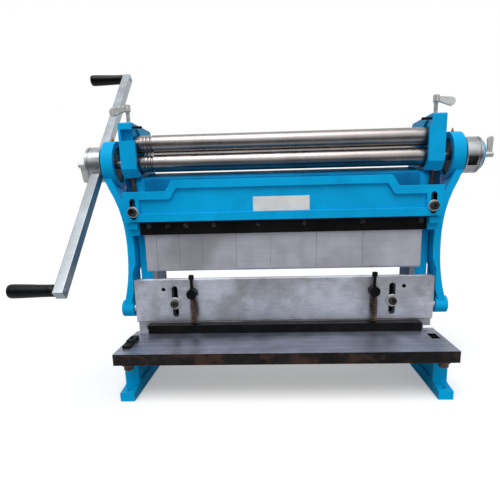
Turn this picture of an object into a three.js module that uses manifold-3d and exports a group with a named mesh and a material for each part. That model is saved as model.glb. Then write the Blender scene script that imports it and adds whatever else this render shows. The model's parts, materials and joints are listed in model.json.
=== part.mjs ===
// A bench machine that shears, folds and rolls sheet metal, built as separate named pieces.
// Millimetres. X runs along the rolls, Y from front to back and Z up from the bench.
import * as THREE from "three";
import { mergeVertices } from "three/addons/utils/BufferGeometryUtils.js";
import Module from "manifold-3d";

const wasm = await Module();
wasm.setup();

// Clearances
const seatGap = 0.3; // between two pieces that touch
const runGap = 0.5; // around a journal or a sliding pin

// Working width, set by the folding fingers
const fingerWidths = [1, 2, 2, 3, 3, 4, 4, 5].map((inches) => inches * 25.4);
const workWidth = fingerWidths.reduce((sum, width) => sum + width, 0);
const halfWork = workWidth / 2;

// Side frames
const columnLap = 4.8; // how far a column reaches in behind the outer finger
const columnThick = 26.6;
const columnDepth = 116;
const legOut = 8; // how far the leg stands out from the column
const legThick = 29;
const legHeight = 83.5;
const legFront = -104;
const toeLength = 37;
const toeHeight = 21;
const heelBack = 190;
const footHoleRadius = 4.5;
const webDepth = 7;

// Table and blades
const tableDepth = 150.7;
const tableThick = 23.5;
const tableOverhang = 34.2; // past each end of the working width
const lowerBladeDepth = 16;
const lowerBladeHeight = 11;
const bladeOverhang = 28;
const upperBladeThick = 12;
const upperBladeHeight = 25;
const upperBladeDip = 3.3; // of its low end below the table top
const bladeRake = 9; // rise from the low end to the high end

// Ram
const ramFront = -4;
const ramThick = 25;
const ramHeight = 97.6;
const ramOverhang = 32.2;
const slideGap = 1.6; // between the ram and the columns that guide it
const veeDepth = 6;
const veeFromFront = 8;
const slotX = 245;
const slotWidth = 14;
const slotDrop = 33; // from the slot screw down to the slot's lower end
const slotRise = 40; // and up to its upper end
const slotScrewHeight = 43.5; // above the ram's lower edge
const slotScrewRadius = 6;
const slotHeadRadius = 8.5;
const slotWasherRadius = 14;
const dowelX = 270.5;
const dowelRadius = 4.5;
const trunnionRadius = 10;
const trunnionHeight = 30.7; // above the ram's lower edge

// Hold-down
const holdDownX = 202.5; // of each rod
const holdDownHeight = 18.7;
const holdDownDepth = 21;
const holdDownLift = 1; // above the table at rest
const holdDownSetback = 2.5; // in front of the ram
const rodRadius = 3.5;
const rodHeadRadius = 6;
const rodHeadHeight = 10;
const rodHeadRise = 13; // of the head's top above the ram
const guideRadius = 11.5;
const guideHeight = 67.7; // of its axis above the ram's lower edge
const springRadius = 6.4;
const springWire = 2;
const springTurns = 10;

// Folding fingers and their clamp bar
const fingerGap = 19.5; // from the ram to the fingers
const fingerHeight = 96.6;
const fingerThick = 14;
const fingerSetback = 4; // of the finger face behind the ram face
const fingerBevel = 17;
const clampLap = 13.2;
const clampHeight = 26.2;
const clampThick = 13.7;
const clampScrewX = [-288, -247, -207, -147, -50, 49, 172, 296];
const clampScrewRadius = 5.2;
const clampScrewDrop = 6.5;

// Apron
const apronGap = 3.2; // above the clamp bar
const apronThick = 20.6;
const apronEndHeight = 62.7;
const apronRise = 22.3;
const apronOverhang = 28.8;
const apronStepX = 235; // middle of the curved step in the top edge
const apronStepWidth = 20;
const apronBorder = 17;
const apronRecess = 6;
const apronSlotX = 313.5;
const apronSlotWidth = 12;
const apronSlotLow = 5;
const apronSlotHigh = 49;
const apronBoltHeight = 21;
const apronBoltRadius = 5;
const apronWasherRadius = 11.5;
const plateWidth = 118;
const plateHeight = 30;
const plateThick = 1.2;

// Beams between the columns
const beamFlange = 16;
const beamDepth = 86;
const beamUnderRoll = 10.6; // from the beam's top up to the rear roll
const backPlateThick = 26;
const backPlateMargin = 11; // below the ram's upper edge and above its lower edge

// Rolls and their housings
const rollRadius = 18.75;
const rollGap = 3.3;
const rollY = 33;
const rearRollBack = 49;
const rearRollRise = 9.6;
const journalRadius = 12;
const rollInPocket = 6; // length of each front roll's end inside the housing
const wireGrooves = [1.6, 2.2, 2.8]; // radii, from the left end of the roll
const wireGroovePitch = 8;
const housingInset = 4.2; // from the working width to the housing
const housingThick = 34;
const housingFront = -2;
const housingStand = 31; // from the column's top to the lower roll
const housingCover = 22.8; // above the upper roll
const columnAboveApron = 31;
const housingFoot = 18;
const housingFootBack = 13;
const housingStep = 4.6; // of the inner face, above the latch pin
const housingPocketRadius = 26.5;
const housingPocketDepth = 9; // into the housing's inner face
const pocketLowRise = 2.6; // of the pocket's round ends above the two rolls
const pocketHighRise = 6.3;
const notchDepth = 20;
const notchWeb = 5; // left standing on the outer side of the notch
const notchHeight = 23;
const notchBelowTop = 14;
const gearTeeth = 17;
const gearThick = 12;
const gearPocket = 14;

// Drive shaft, eccentrics, links and hubs
const eccentricThrow = 19;
const crankHalfSwing = 40; // degrees each way from rest
const ringRadius = 51;
const ringBore = 39;
const ringPlay = 0.6; // least gap round the eccentric in every pose
const ringGap = 19; // from the housing to the ring
const ringThick = 26;
const eccentricThick = 16;
const armThick = 16;
const armFrontBack = 16; // of the arm's front edge in front of the ram's middle
const armFrontRun = 15.5; // how far that edge runs back up to the ring
const armDepth = 56;
const armTopDepth = 69; // at the ring
const armIntoRing = 20; // how far the arm rises past the ring's lowest point
const armWaist = 345; // least distance of the arm's outer face from the middle
const armWaistZ = 290;
const armTopSpread = 46;
const armTopBow = 2.4; // power of the curve above the waist
const armFootSpread = 21;
const armFootBow = 2.15;
const footBossRadius = 19;
const nippleRadius = 3.5;
const nippleHeight = 8;
const hubRadius = 37.7;
const hubGap = 1; // from the ring to the hub
const hubLength = 34;
const hubSpigotRadius = 16;
const hubGroove = 2;
const hubGrooveBack = 9; // from the hub's outer face
const hubPin = 6; // length of the hub lever's pin inside the hub
const capRadius = 30;
const capThick = 6;

// Crank and its grips
const barSide = 20;
const barFromHubFace = 13; // middle of the bar from the hub's inner face
const barReach = 342;
const barLean = 44.3; // degrees from the vertical
const socketLean = 67; // of the right hub's square hole
const gripFromBarEnd = 12;
const gripLength = 85;
const gripInnerRadius = 10;
const gripOuterRadius = 13.5;
const gripPinRadius = 5;
const hubLeverRadius = 6;
const hubLeverLength = 28;
const hubLeverWide = 16;
const hubLeverReach = 38;
const hubLeverThick = 5;

// Small parts on the housings
const lockY = 18;
const lockX = 325;
const lockStemRadius = 4.3;
const lockStemHeight = 24;
const lockPaddle = 31; // from the stem to the middle of the round tip
const lockPaddleDroop = 12; // degrees
const lockPaddleRoot = 4.5; // half of its height at the stem
const lockPaddleTip = 9; // radius
const lockPaddleThick = 6;
const lockKnuckle = 14;
const latchY = 8;
const latchRadius = 2.6;
const latchReach = 20;
const latchSeat = 12; // length inside the housing
const adjusterX = 324;
const adjusterY = 16;
const adjusterRadius = 4.3;
const adjusterReach = 27;
const adjusterSeat = 9; // length inside the housing

// Small parts on the table
const stopWidth = 16;
const stopLength = 60;
const stopHeight = 9;
const stopFromEnd = 16; // of the stop's middle from the table's end
const stopBack = 118; // of its front end in front of the table's rear edge
const pocketDepth = 6;
const tableBoltFromEnd = 26;
const tableBoltBack = 14; // behind the table's front edge
const tableWasherRadius = 13.5;
const tableWasherThick = 3;
const tableHeadRadius = 10;
const tableHeadHeight = 11;

// Sides of the facets that stand for round faces
const roundSides = 20;
const turnedSides = 24;
const drumSides = 40;

// Places along X that follow from the sizes
const columnIn = halfWork - columnLap;
const columnOut = columnIn + columnThick;
const legIn = columnIn + legOut;
const legEdge = legIn + legThick;
const ramHalf = halfWork + ramOverhang;
const tableHalf = halfWork + tableOverhang;
const stopX = tableHalf - stopFromEnd;
const tableBoltX = tableHalf - tableBoltFromEnd;
const bladeHalf = halfWork + bladeOverhang;
const apronHalf = halfWork + apronOverhang;
const housingIn = halfWork + housingInset;
const housingOut = housingIn + housingThick;
const frontRollHalf = housingIn + rollInPocket;
const rearRollHalf = housingIn - 1.5;
const ringIn = housingOut + ringGap;
const ringOut = ringIn + ringThick;
const hubIn = ringOut + hubGap;
const hubOut = hubIn + hubLength;
const barX = hubIn + barFromHubFace;
const gripReach = barReach - gripFromBarEnd; // along the bar from its middle
const shaftEnd = barX - barSide / 2 - 2;

// Places along Y
const ramBack = ramFront + ramThick;
const columnFront = ramBack + slideGap;
const columnBack = columnFront + columnDepth;
const tableBack = ramFront - seatGap;
const tableFront = tableBack - tableDepth;
const fingerFront = ramFront + fingerSetback;
const fingerBack = fingerFront + fingerThick;
const beamFront = fingerBack + seatGap;
const beamBack = beamFront + beamDepth;
const clampBack = fingerFront - seatGap;
const clampFront = clampBack - clampThick;
const apronBack = clampFront - 2;
const apronFront = apronBack - apronThick;
const ramMidY = ramFront + ramThick / 2;
const holdDownBack = ramFront - holdDownSetback;
const holdDownFront = holdDownBack - holdDownDepth;
const rodY = (holdDownBack + holdDownFront) / 2;

// Places along Z
const tableUnder = legHeight + seatGap;
const tableTop = tableUnder + tableThick;
const upperBladeLow = tableTop - upperBladeDip;
const ramLow = upperBladeLow + upperBladeHeight + seatGap;
const ramTop = ramLow + ramHeight;
const slotScrewZ = ramLow + slotScrewHeight;
const trunnionZ = ramLow + trunnionHeight;
const guideZ = ramLow + guideHeight;
const holdDownLow = tableTop + holdDownLift;
const holdDownTop = holdDownLow + holdDownHeight;
const fingerLow = ramTop + fingerGap;
const fingerTop = fingerLow + fingerHeight;
const clampLow = fingerTop - clampLap;
const clampTop = clampLow + clampHeight;
const apronLow = clampTop + apronGap;
const apronEndTop = apronLow + apronEndHeight;
const apronTop = apronEndTop + apronRise;
const columnTop = apronEndTop + columnAboveApron;
const housingLow = columnTop + seatGap;
const lowerRollZ = columnTop + housingStand;
const upperRollZ = lowerRollZ + 2 * rollRadius + rollGap;
const rearRollY = rollY + rearRollBack;
const rearRollZ = lowerRollZ + rearRollRise;
const housingTop = upperRollZ + rollRadius + housingCover;
const notchTop = housingTop - notchBelowTop;
const notchLow = notchTop - notchHeight;

// The ring moves straight up and down, so its bore is wider than the eccentric by what the
// eccentric swings sideways, halved to each side.
const swing = THREE.MathUtils.degToRad(crankHalfSwing);
const sideways = (eccentricThrow * (1 - Math.cos(swing))) / 2;
const eccentricRadius = ringBore * Math.cos(Math.PI / drumSides) - sideways - ringPlay;
const ringY = rollY + eccentricThrow - sideways;

// Finishes
const finish = (color, roughness, metalness) => ({ color, roughness, metalness });
const bluePaint = finish(0x0a96d8, 0.35, 0.1);
const groundSteel = finish(0x9aa3ac, 0.38, 0.9);
const polishedSteel = finish(0xc9ccd0, 0.16, 1);
const zinc = finish(0xb9bcbb, 0.34, 0.9);
const blackOxide = finish(0x1c1d1f, 0.5, 0.5);
const castIron = finish(0x4a4b4c, 0.5, 0.7);
const machinedIron = finish(0xa6a9aa, 0.35, 0.9);
const blackPlastic = finish(0x121213, 0.42, 0);
const brass = finish(0xc59a3e, 0.3, 1);
const rustySteel = finish(0x7d4a34, 0.6, 0.6);

// Solids
function toSolid(geometry) {
  const bare = geometry.clone();
  bare.deleteAttribute("normal");
  bare.deleteAttribute("uv");
  const merged = mergeVertices(bare, 1e-4);
  return new wasm.Manifold(
    new wasm.Mesh({
      numProp: 3,
      vertProperties: merged.attributes.position.array,
      triVerts: new Uint32Array(merged.index.array),
    }),
  );
}

function toGeometry(solid) {
  const mesh = solid.getMesh();
  const geometry = new THREE.BufferGeometry();
  const places = new Float32Array(mesh.numVert * 3);
  for (let i = 0; i < mesh.numVert; i += 1) {
    places.set(mesh.vertProperties.subarray(i * mesh.numProp, i * mesh.numProp + 3), i * 3);
  }
  geometry.setAttribute("position", new THREE.BufferAttribute(places, 3));
  geometry.setIndex(new THREE.BufferAttribute(mesh.triVerts, 1));
  geometry.computeVertexNormals();
  return geometry;
}

const join = (...solids) => solids.reduce((whole, solid) => whole.add(solid));
const cut = (solid, ...tools) => tools.reduce((left, tool) => left.subtract(tool), solid);

// A box between pairs of faces, given in any order.
function box(xa, xb, ya, yb, za, zb) {
  const geometry = new THREE.BoxGeometry(Math.abs(xb - xa), Math.abs(yb - ya), Math.abs(zb - za));
  geometry.translate((xa + xb) / 2, (ya + yb) / 2, (za + zb) / 2);
  return toSolid(geometry);
}

// A round bar from one place to another along X, Y or Z.
function bar(axis, radius, from, to, u, v, sides = roundSides) {
  const geometry = new THREE.CylinderGeometry(radius, radius, Math.abs(to - from), sides);
  const middle = (from + to) / 2;
  if (axis === "x") geometry.rotateZ(Math.PI / 2).translate(middle, u, v);
  if (axis === "y") geometry.translate(u, middle, v);
  if (axis === "z") geometry.rotateX(Math.PI / 2).translate(u, v, middle);
  return toSolid(geometry);
}

// A turned piece about X, from pairs of place and radius that start and end on the axis.
function turned(profile, sides = turnedSides) {
  const points = profile.map(([place, radius]) => new THREE.Vector2(radius, place));
  return toSolid(new THREE.LatheGeometry(points, sides).rotateZ(-Math.PI / 2));
}

// A plate whose outline lies in YZ and whose thickness runs along X.
function plateX(outline, xa, xb) {
  const shape = new THREE.Shape(outline.map(([y, z]) => new THREE.Vector2(y, z)));
  const depth = Math.abs(xb - xa);
  const geometry = new THREE.ExtrudeGeometry(shape, { depth, bevelEnabled: false });
  geometry.applyMatrix4(
    new THREE.Matrix4().set(0, 0, 1, Math.min(xa, xb), 1, 0, 0, 0, 0, 1, 0, 0, 0, 0, 0, 1),
  );
  return toSolid(geometry);
}

// A plate whose outline lies in XZ and whose thickness runs along Y.
function plateY(outline, ya, yb) {
  const shape = new THREE.Shape(outline.map(([x, z]) => new THREE.Vector2(x, z)));
  const depth = Math.abs(yb - ya);
  const geometry = new THREE.ExtrudeGeometry(shape, { depth, bevelEnabled: false });
  geometry.rotateX(Math.PI / 2).translate(0, Math.max(ya, yb), 0);
  return toSolid(geometry);
}

// An upright slot through a plate: a box with a round at each end.
function slotY(x, width, low, high, ya, yb) {
  const r = width / 2;
  return join(
    box(x - r, x + r, ya, yb, low + r, high - r),
    bar("y", r, ya, yb, x, low + r),
    bar("y", r, ya, yb, x, high - r),
  );
}

// A body lofted through closed sections that have the same number of points.
function lofted(sections) {
  const count = sections[0].length;
  const places = sections.flat(2);
  const faces = [];
  sections.slice(1).forEach((_, row) => {
    for (let i = 0; i < count; i += 1) {
      const a = row * count + i;
      const b = row * count + ((i + 1) % count);
      faces.push(a, b, a + count, b, b + count, a + count);
    }
  });
  const last = (sections.length - 1) * count;
  for (let i = 1; i < count - 1; i += 1) {
    faces.push(0, i + 1, i, last, last + i, last + i + 1);
  }
  const geometry = new THREE.BufferGeometry();
  geometry.setAttribute("position", new THREE.Float32BufferAttribute(places, 3));
  geometry.setIndex(faces);
  return toSolid(geometry);
}

// Groups: the machine stands still, and each moving set has its own group
const machine = new THREE.Group();
const crankGroup = new THREE.Group();
const upperRollGroup = new THREE.Group();
const rearRollGroup = new THREE.Group();
const ramGroup = new THREE.Group();
const holdDownGroup = new THREE.Group();
crankGroup.position.set(0, rollY, lowerRollZ);
upperRollGroup.position.set(0, rollY, upperRollZ);
rearRollGroup.position.set(0, rearRollY, rearRollZ);
machine.add(crankGroup, upperRollGroup, rearRollGroup, ramGroup, holdDownGroup);

function add(group, name, solid, look) {
  const mesh = new THREE.Mesh(toGeometry(solid), new THREE.MeshStandardMaterial(look));
  mesh.name = name;
  group.add(mesh);
  return mesh;
}

const sides = [
  ["left", -1],
  ["right", 1],
];

// Side frames: foot, leg under the table, column and the nose that carries the apron
function sideFrame(side) {
  const foot = [
    [legFront - toeLength, 0],
    [heelBack, 0],
    [heelBack, toeHeight - 3],
    [heelBack - 40, toeHeight],
    [columnBack, legHeight],
    [tableBack - 2, legHeight],
    [legFront, legHeight],
    [legFront, toeHeight + 3],
    [legFront - 5, toeHeight],
    [legFront - toeLength, toeHeight - 3],
  ];
  const column = [
    [columnFront, legHeight - 30],
    [columnBack, legHeight - 30],
    [columnBack, columnTop],
    [columnFront + 8, columnTop],
    [columnFront, columnTop - 8],
  ];
  const holeX = (legIn + legEdge) / 2;
  const noseIn = housingIn;
  const noseBack = apronBack + seatGap;
  const stepTop = clampTop + 1.5;
  const stepMid = clampTop - 12;
  const stepLow = clampLow;
  return cut(
    join(
      plateX(foot, side * legIn, side * legEdge),
      plateX(column, side * columnIn, side * columnOut),
      box(side * noseIn, side * columnOut, noseBack, columnFront + 10, stepTop - 1, apronEndTop),
      box(side * noseIn, side * (columnOut + 4), noseBack - 14, noseBack + 6, stepMid, stepTop),
      box(side * noseIn, side * (columnOut + 4), noseBack - 4, noseBack + 6, stepLow, stepMid + 1),
      box(side * noseIn, side * columnOut, noseBack + 5, columnFront + 10, stepLow, stepTop),
    ),
    bar("z", footHoleRadius, -1, toeHeight + 9, side * holeX, legFront - toeLength + 16),
    bar("z", footHoleRadius, -1, toeHeight + 9, side * holeX, heelBack - 16),
    box(side * (legEdge - webDepth), side * (legEdge + 1), legFront + 18, columnBack - 40, 24, legHeight - 18),
    box(side * (legIn - 1), side * (legIn + webDepth), legFront + 18, columnFront - 12, 24, legHeight - 18),
    box(
      side * (columnOut - webDepth),
      side * (columnOut + 1),
      columnFront + 18,
      columnBack - 18,
      legHeight + 30,
      columnTop - 30,
    ),
    bar("y", apronBoltRadius + runGap, noseBack - 1, noseBack + 22, side * apronSlotX, apronLow + apronBoltHeight),
  );
}

// Table with a rebate for its blade, a pocket for a stop and a small hole
function table() {
  const pocketX = stopX - 3;
  const pocketY = tableBack - 58;
  return join(
    cut(
      box(-tableHalf, tableHalf, tableFront, tableBack, tableUnder, tableTop),
      box(
        -bladeHalf - seatGap,
        bladeHalf + seatGap,
        tableBack - lowerBladeDepth - seatGap,
        tableBack + 1,
        tableTop - lowerBladeHeight - seatGap,
        tableTop + 1,
      ),
      box(pocketX - 9, pocketX + 9, pocketY - 17, pocketY + 17, tableTop - pocketDepth, tableTop + 1),
      bar("z", 2.5, tableTop - 10, tableTop + 1, pocketX - 6, tableBack - lowerBladeDepth - 8, 16),
    ),
    bar("z", 6, tableTop - pocketDepth - 2, tableTop - 1, pocketX, pocketY),
  );
}

function sideStop() {
  const front = tableBack - stopBack;
  const back = front + stopLength;
  const low = tableTop + seatGap;
  const half = stopWidth / 2;
  return cut(
    join(
      box(-stopX - half, -stopX + half, front, back, low, low + stopHeight - 3),
      box(-stopX - half, -stopX + half, front + 24, back, low, low + stopHeight),
    ),
    box(-stopX - 3, -stopX + 3, front + 34, back - 14, low + stopHeight - 3, low + stopHeight + 1),
  );
}

const lowerBlade = () =>
  box(
    -bladeHalf,
    bladeHalf,
    tableBack - lowerBladeDepth,
    tableBack,
    tableTop - lowerBladeHeight,
    tableTop,
  );

const tableBolt = (side) =>
  join(
    bar(
      "z",
      tableWasherRadius,
      tableUnder - seatGap - tableWasherThick,
      tableUnder - seatGap,
      side * tableBoltX,
      tableFront + tableBoltBack,
    ),
    bar(
      "z",
      tableHeadRadius,
      tableUnder - tableWasherThick - tableHeadHeight,
      tableUnder - tableWasherThick,
      side * tableBoltX,
      tableFront + tableBoltBack,
      6,
    ),
  );

// Upper beam: a channel open to the back, with ribs, between the two columns
function upperBeam() {
  const half = columnIn - seatGap;
  const top = rearRollZ - rollRadius - beamUnderRoll;
  const low = clampLow + 5;
  const frontTop = lowerRollZ - rollRadius - 14;
  const outline = [
    [beamFront, low],
    [beamBack, low],
    [beamBack, top],
    [rollY + rollRadius + 8, top],
    [beamFront, frontTop],
  ];
  const hollow = [
    [beamFront + beamFlange, low + beamFlange],
    [beamBack + 1, low + beamFlange],
    [beamBack + 1, top - beamFlange],
    [rollY + rollRadius + 8, top - beamFlange],
    [beamFront + beamFlange, frontTop - beamFlange / 2],
  ];
  const bays = 4;
  const rib = 10;
  const pitch = (2 * half - rib) / bays;
  let whole = plateX(outline, -half, half);
  for (let i = 0; i < bays; i += 1) {
    const start = -half + rib + i * pitch;
    whole = cut(whole, plateX(hollow, start, start + pitch - rib));
  }
  return whole;
}

// Back plate between the columns that holds the slot screws
const backPlate = () =>
  cut(
    box(
      -columnIn + seatGap,
      columnIn - seatGap,
      columnFront,
      columnFront + backPlateThick,
      ramLow - backPlateMargin,
      ramTop - backPlateMargin - 8,
    ),
    ...sides.map(([, side]) =>
      bar("y", slotScrewRadius + seatGap, columnFront - 1, columnFront + 18, side * slotX, slotScrewZ),
    ),
  );

const slotScrew = (side) =>
  cut(
    join(
      bar("y", slotScrewRadius, ramFront - 3, columnFront + 16, side * slotX, slotScrewZ),
      bar("y", slotWasherRadius, ramFront - seatGap - 2.6, ramFront - seatGap, side * slotX, slotScrewZ),
      bar("y", slotHeadRadius, ramFront - 13, ramFront - 2.5, side * slotX, slotScrewZ),
    ),
    bar("y", 5, ramFront - 14, ramFront - 7, side * slotX, slotScrewZ, 6),
  );

// Fingers, numbered from the left, with a nose over the middle of the vee
function finger(index) {
  const from = -halfWork + fingerWidths.slice(0, index).reduce((sum, width) => sum + width, 0);
  const nose = ramFront + veeFromFront;
  const outline = [
    [fingerFront, fingerTop],
    [fingerFront, fingerLow + 4],
    [nose - 0.5, fingerLow],
    [nose + 0.5, fingerLow],
    [fingerBack, fingerLow + fingerBevel],
    [fingerBack, fingerTop],
  ];
  return plateX(outline, from + seatGap / 2, from + fingerWidths[index] - seatGap / 2);
}

// Clamp bar with a lip over the fingers and a row of socket screws
function clampBar() {
  const half = housingIn - 1;
  const screwZ = clampTop - clampScrewDrop;
  const heads = clampScrewX.map((x) =>
    cut(
      bar("y", clampScrewRadius, clampFront - 3, clampFront + 1, x, screwZ, 16),
      bar("y", 2.8, clampFront - 4, clampFront - 0.5, x, screwZ, 6),
    ),
  );
  return join(
    box(-half, half, clampFront, clampBack, clampLow, clampTop),
    box(-halfWork + 6, halfWork - 6, clampBack - 1, beamFront - seatGap, fingerTop + seatGap, clampTop),
    ...heads,
  );
}

// Apron: a plate with a curved step in its top edge, a bordered recess and two slots
function apronOutline(inset) {
  const half = apronHalf - inset;
  const low = apronLow + inset;
  const endTop = apronEndTop - inset;
  const top = apronTop - inset;
  const steps = 8;
  const curve = Array.from({ length: steps + 1 }, (_, i) => {
    const t = i / steps;
    const rise = (1 - Math.cos(Math.PI * t)) / 2;
    return [apronStepX - inset / 2 + apronStepWidth * (0.5 - t), endTop + (top - endTop) * rise];
  });
  const mirrored = curve.map(([x, z]) => [-x, z]).reverse();
  return [[-half, low], [half, low], [half, endTop], ...curve, ...mirrored, [-half, endTop]];
}

function apron() {
  const recessHalf = apronSlotX - apronSlotWidth / 2 - apronBorder / 2;
  const inner = apronOutline(apronBorder).map(([x, z]) => [
    THREE.MathUtils.clamp(x, -recessHalf, recessHalf),
    z,
  ]);
  return cut(
    plateY(apronOutline(0), apronFront, apronBack),
    plateY(inner, apronFront - 1, apronFront + apronRecess),
    ...sides.map(([, side]) =>
      slotY(
        side * apronSlotX,
        apronSlotWidth,
        apronLow + apronSlotLow,
        apronLow + apronSlotHigh,
        apronFront - 1,
        apronBack + 1,
      ),
    ),
  );
}

function apronBolt(side) {
  const z = apronLow + apronBoltHeight;
  const x = side * apronSlotX;
  const face = apronFront - seatGap;
  return join(
    bar("y", apronWasherRadius, face - 2.4, face, x, z),
    bar("y", 8.5, face - 9, face - 2.3, x, z, 6),
    bar("y", apronBoltRadius, face - 10.5, apronBack + 18, x, z),
  );
}

function namePlate() {
  const z = (apronLow + apronBorder + apronTop - apronBorder) / 2 - 10;
  const face = apronFront + apronRecess - seatGap;
  const corners = [-1, 1].flatMap((u) => [-1, 1].map((v) => [u, v]));
  return join(
    box(-plateWidth / 2, plateWidth / 2, face - plateThick, face, z - plateHeight / 2, z + plateHeight / 2),
    ...corners.map(([u, v]) =>
      bar(
        "y",
        1.6,
        face - plateThick - 0.8,
        face - plateThick + 0.4,
        u * (plateWidth / 2 - 4),
        z + v * (plateHeight / 2 - 4),
        12,
      ),
    ),
  );
}

// Roll housings: pocketed and bored for the rolls, notched on the left, geared on the right
const pitchRadius = (upperRollZ - lowerRollZ) / 2;
const gearTip = pitchRadius + 1.9;

function housing(side) {
  const back = columnBack - 1.6;
  const outline = [
    [housingFront + housingFootBack, housingLow],
    [back, housingLow],
    [back, housingTop - 5],
    [back - 5, housingTop],
    [housingFront + 3, housingTop],
    [housingFront, housingTop - 3],
    [housingFront, housingLow + housingFoot],
  ];
  const from = side * housingIn - 1;
  const to = side * housingOut + 1;
  const bore = (y, z) =>
    bar("x", journalRadius + runGap, Math.min(from, to) - 2, Math.max(from, to) + 2, y, z, drumSides);
  const jaw = box(
    side * (housingIn - 1),
    side * (housingIn + housingStep),
    housingFront - 1,
    back + 1,
    notchTop - 6,
    housingTop + 1,
  );
  const pocketLowZ = lowerRollZ + pocketLowRise;
  const pocketHighZ = upperRollZ + pocketHighRise;
  const inner = side * (housingIn - 1);
  const floor = side * (housingIn + housingPocketDepth);
  const tools = [
    jaw,
    bar("x", housingPocketRadius, inner, floor, rollY, pocketLowZ, drumSides),
    bar("x", housingPocketRadius, inner, floor, rollY, pocketHighZ, drumSides),
    box(inner, floor, rollY - housingPocketRadius, rollY + housingPocketRadius, pocketLowZ, pocketHighZ),
    bore(rollY, lowerRollZ),
    bore(rollY, upperRollZ),
    bore(rearRollY, rearRollZ),
    bar("z", lockStemRadius + seatGap, housingTop - 9, housingTop + 1, side * lockX, lockY),
    bar(
      "x",
      latchRadius + seatGap,
      side * (housingIn + 3),
      side * (housingOut + 1),
      latchY,
      notchTop + 4.5,
      20,
    ),
    bar(
      "z",
      adjusterRadius + seatGap,
      housingLow - 1,
      housingLow + adjusterSeat + 2,
      side * adjusterX,
      adjusterY,
    ),
  ];
  if (side < 0) {
    tools.push(
      box(
        -housingIn + 1,
        -housingOut + notchWeb,
        housingFront - 1,
        housingFront + notchDepth,
        notchLow,
        notchTop,
      ),
    );
  } else {
    const depth = housingOut - gearPocket;
    tools.push(
      bar("x", gearTip + 1.5, depth, housingOut + 1, rollY, lowerRollZ, drumSides),
      bar("x", gearTip + 1.5, depth, housingOut + 1, rollY, upperRollZ, drumSides),
    );
  }
  return cut(plateX(outline, side * housingIn, side * housingOut), ...tools);
}

// A spur gear about X with a bore, turned by half a tooth when it is the driven one
function gear(half) {
  const step = (2 * Math.PI) / gearTeeth;
  const root = pitchRadius - 2.6;
  const start = half ? -Math.PI / 2 + step / 2 : Math.PI / 2;
  const flank = [
    [-0.265, root],
    [-0.125, gearTip],
    [0.125, gearTip],
    [0.265, root],
  ];
  const outline = Array.from({ length: gearTeeth }, (_, i) =>
    flank.map(([share, radius]) => {
      const angle = start + step * (i + share);
      return [radius * Math.cos(angle), radius * Math.sin(angle)];
    }),
  ).flat();
  const from = housingOut - gearPocket + 1;
  return cut(
    plateX(outline, from, from + gearThick),
    bar("x", journalRadius - 3 + seatGap, from - 1, from + gearThick + 1, 0, 0),
  );
}

// Wire grooves at the left end of a roll, each a half round in its profile
const wireGrooveProfile = () =>
  wireGrooves.flatMap((radius, i) => {
    const x = -halfWork + 8 + i * wireGroovePitch;
    return [0, 1, 2, 3].map((k) => {
      const angle = (Math.PI * k) / 3;
      return [x - radius * Math.cos(angle), rollRadius - radius * Math.sin(angle)];
    });
  });

// A roll from its left end to its right end, with journals that may narrow to a neck
function roll({ half, leftEnd, leftNeck = leftEnd, rightNeck, rightEnd, grooved }) {
  const thin = journalRadius - 3;
  const left =
    leftEnd > leftNeck
      ? [[-leftEnd, 0], [-leftEnd, thin], [-leftNeck, thin], [-leftNeck, journalRadius]]
      : [[-leftEnd, 0], [-leftEnd, journalRadius]];
  return turned([
    ...left,
    [-half, journalRadius],
    [-half, rollRadius],
    ...(grooved ? wireGrooveProfile() : []),
    [half, rollRadius],
    [half, journalRadius],
    ...(rightEnd > rightNeck
      ? [[rightNeck, journalRadius], [rightNeck, thin], [rightEnd, thin], [rightEnd, 0]]
      : [[rightEnd, journalRadius], [rightEnd, 0]]),
  ]);
}

// Eccentric: a disc off the shaft's axis, with a short sleeve
function eccentric(side) {
  const from = ringIn + (ringThick - eccentricThick) / 2;
  return cut(
    bar("x", eccentricRadius, side * from, side * (from + eccentricThick), eccentricThrow, 0, drumSides),
    bar("x", journalRadius - 3 + seatGap, side * (from - 1), side * (from + eccentricThick + 1), 0, 0),
  );
}

// Hub: a drum with a spigot, a groove, a bore and a square hole for the crank bar
function hub(side) {
  const lean = THREE.MathUtils.degToRad(side > 0 ? socketLean : barLean);
  const groove = hubOut - hubGrooveBack;
  const hole = new THREE.BoxGeometry(barSide + 2 * seatGap, barSide + 2 * seatGap, 2 * hubRadius + 10);
  hole.rotateX(-lean).translate(side * barX, 0, 0);
  const inner = ringIn + (ringThick + eccentricThick) / 2 + seatGap;
  return cut(
    join(
      bar("x", hubRadius, side * hubIn, side * hubOut, 0, 0, drumSides),
      bar("x", hubSpigotRadius, side * inner, side * (hubIn + 1), 0, 0),
    ),
    toSolid(hole),
    bar("x", journalRadius - 3 + seatGap, side * (inner - 1), side * barX, 0, 0),
    bar("x", hubLeverRadius - 2 + seatGap, side * (hubOut - hubPin - 2), side * (hubOut + 1), 0, 0),
    cut(
      bar("x", hubRadius + 1, side * groove, side * (groove + hubGroove), 0, 0, drumSides),
      bar("x", hubRadius - 1.5, side * (groove - 1), side * (groove + hubGroove + 1), 0, 0, drumSides),
    ),
  );
}

const hubCap = () =>
  cut(
    bar("x", capRadius, hubOut + seatGap, hubOut + seatGap + capThick, 0, 0, drumSides),
    bar("x", hubLeverRadius - 2 + seatGap, hubOut, hubOut + capThick + 1, 0, 0),
  );

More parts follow.
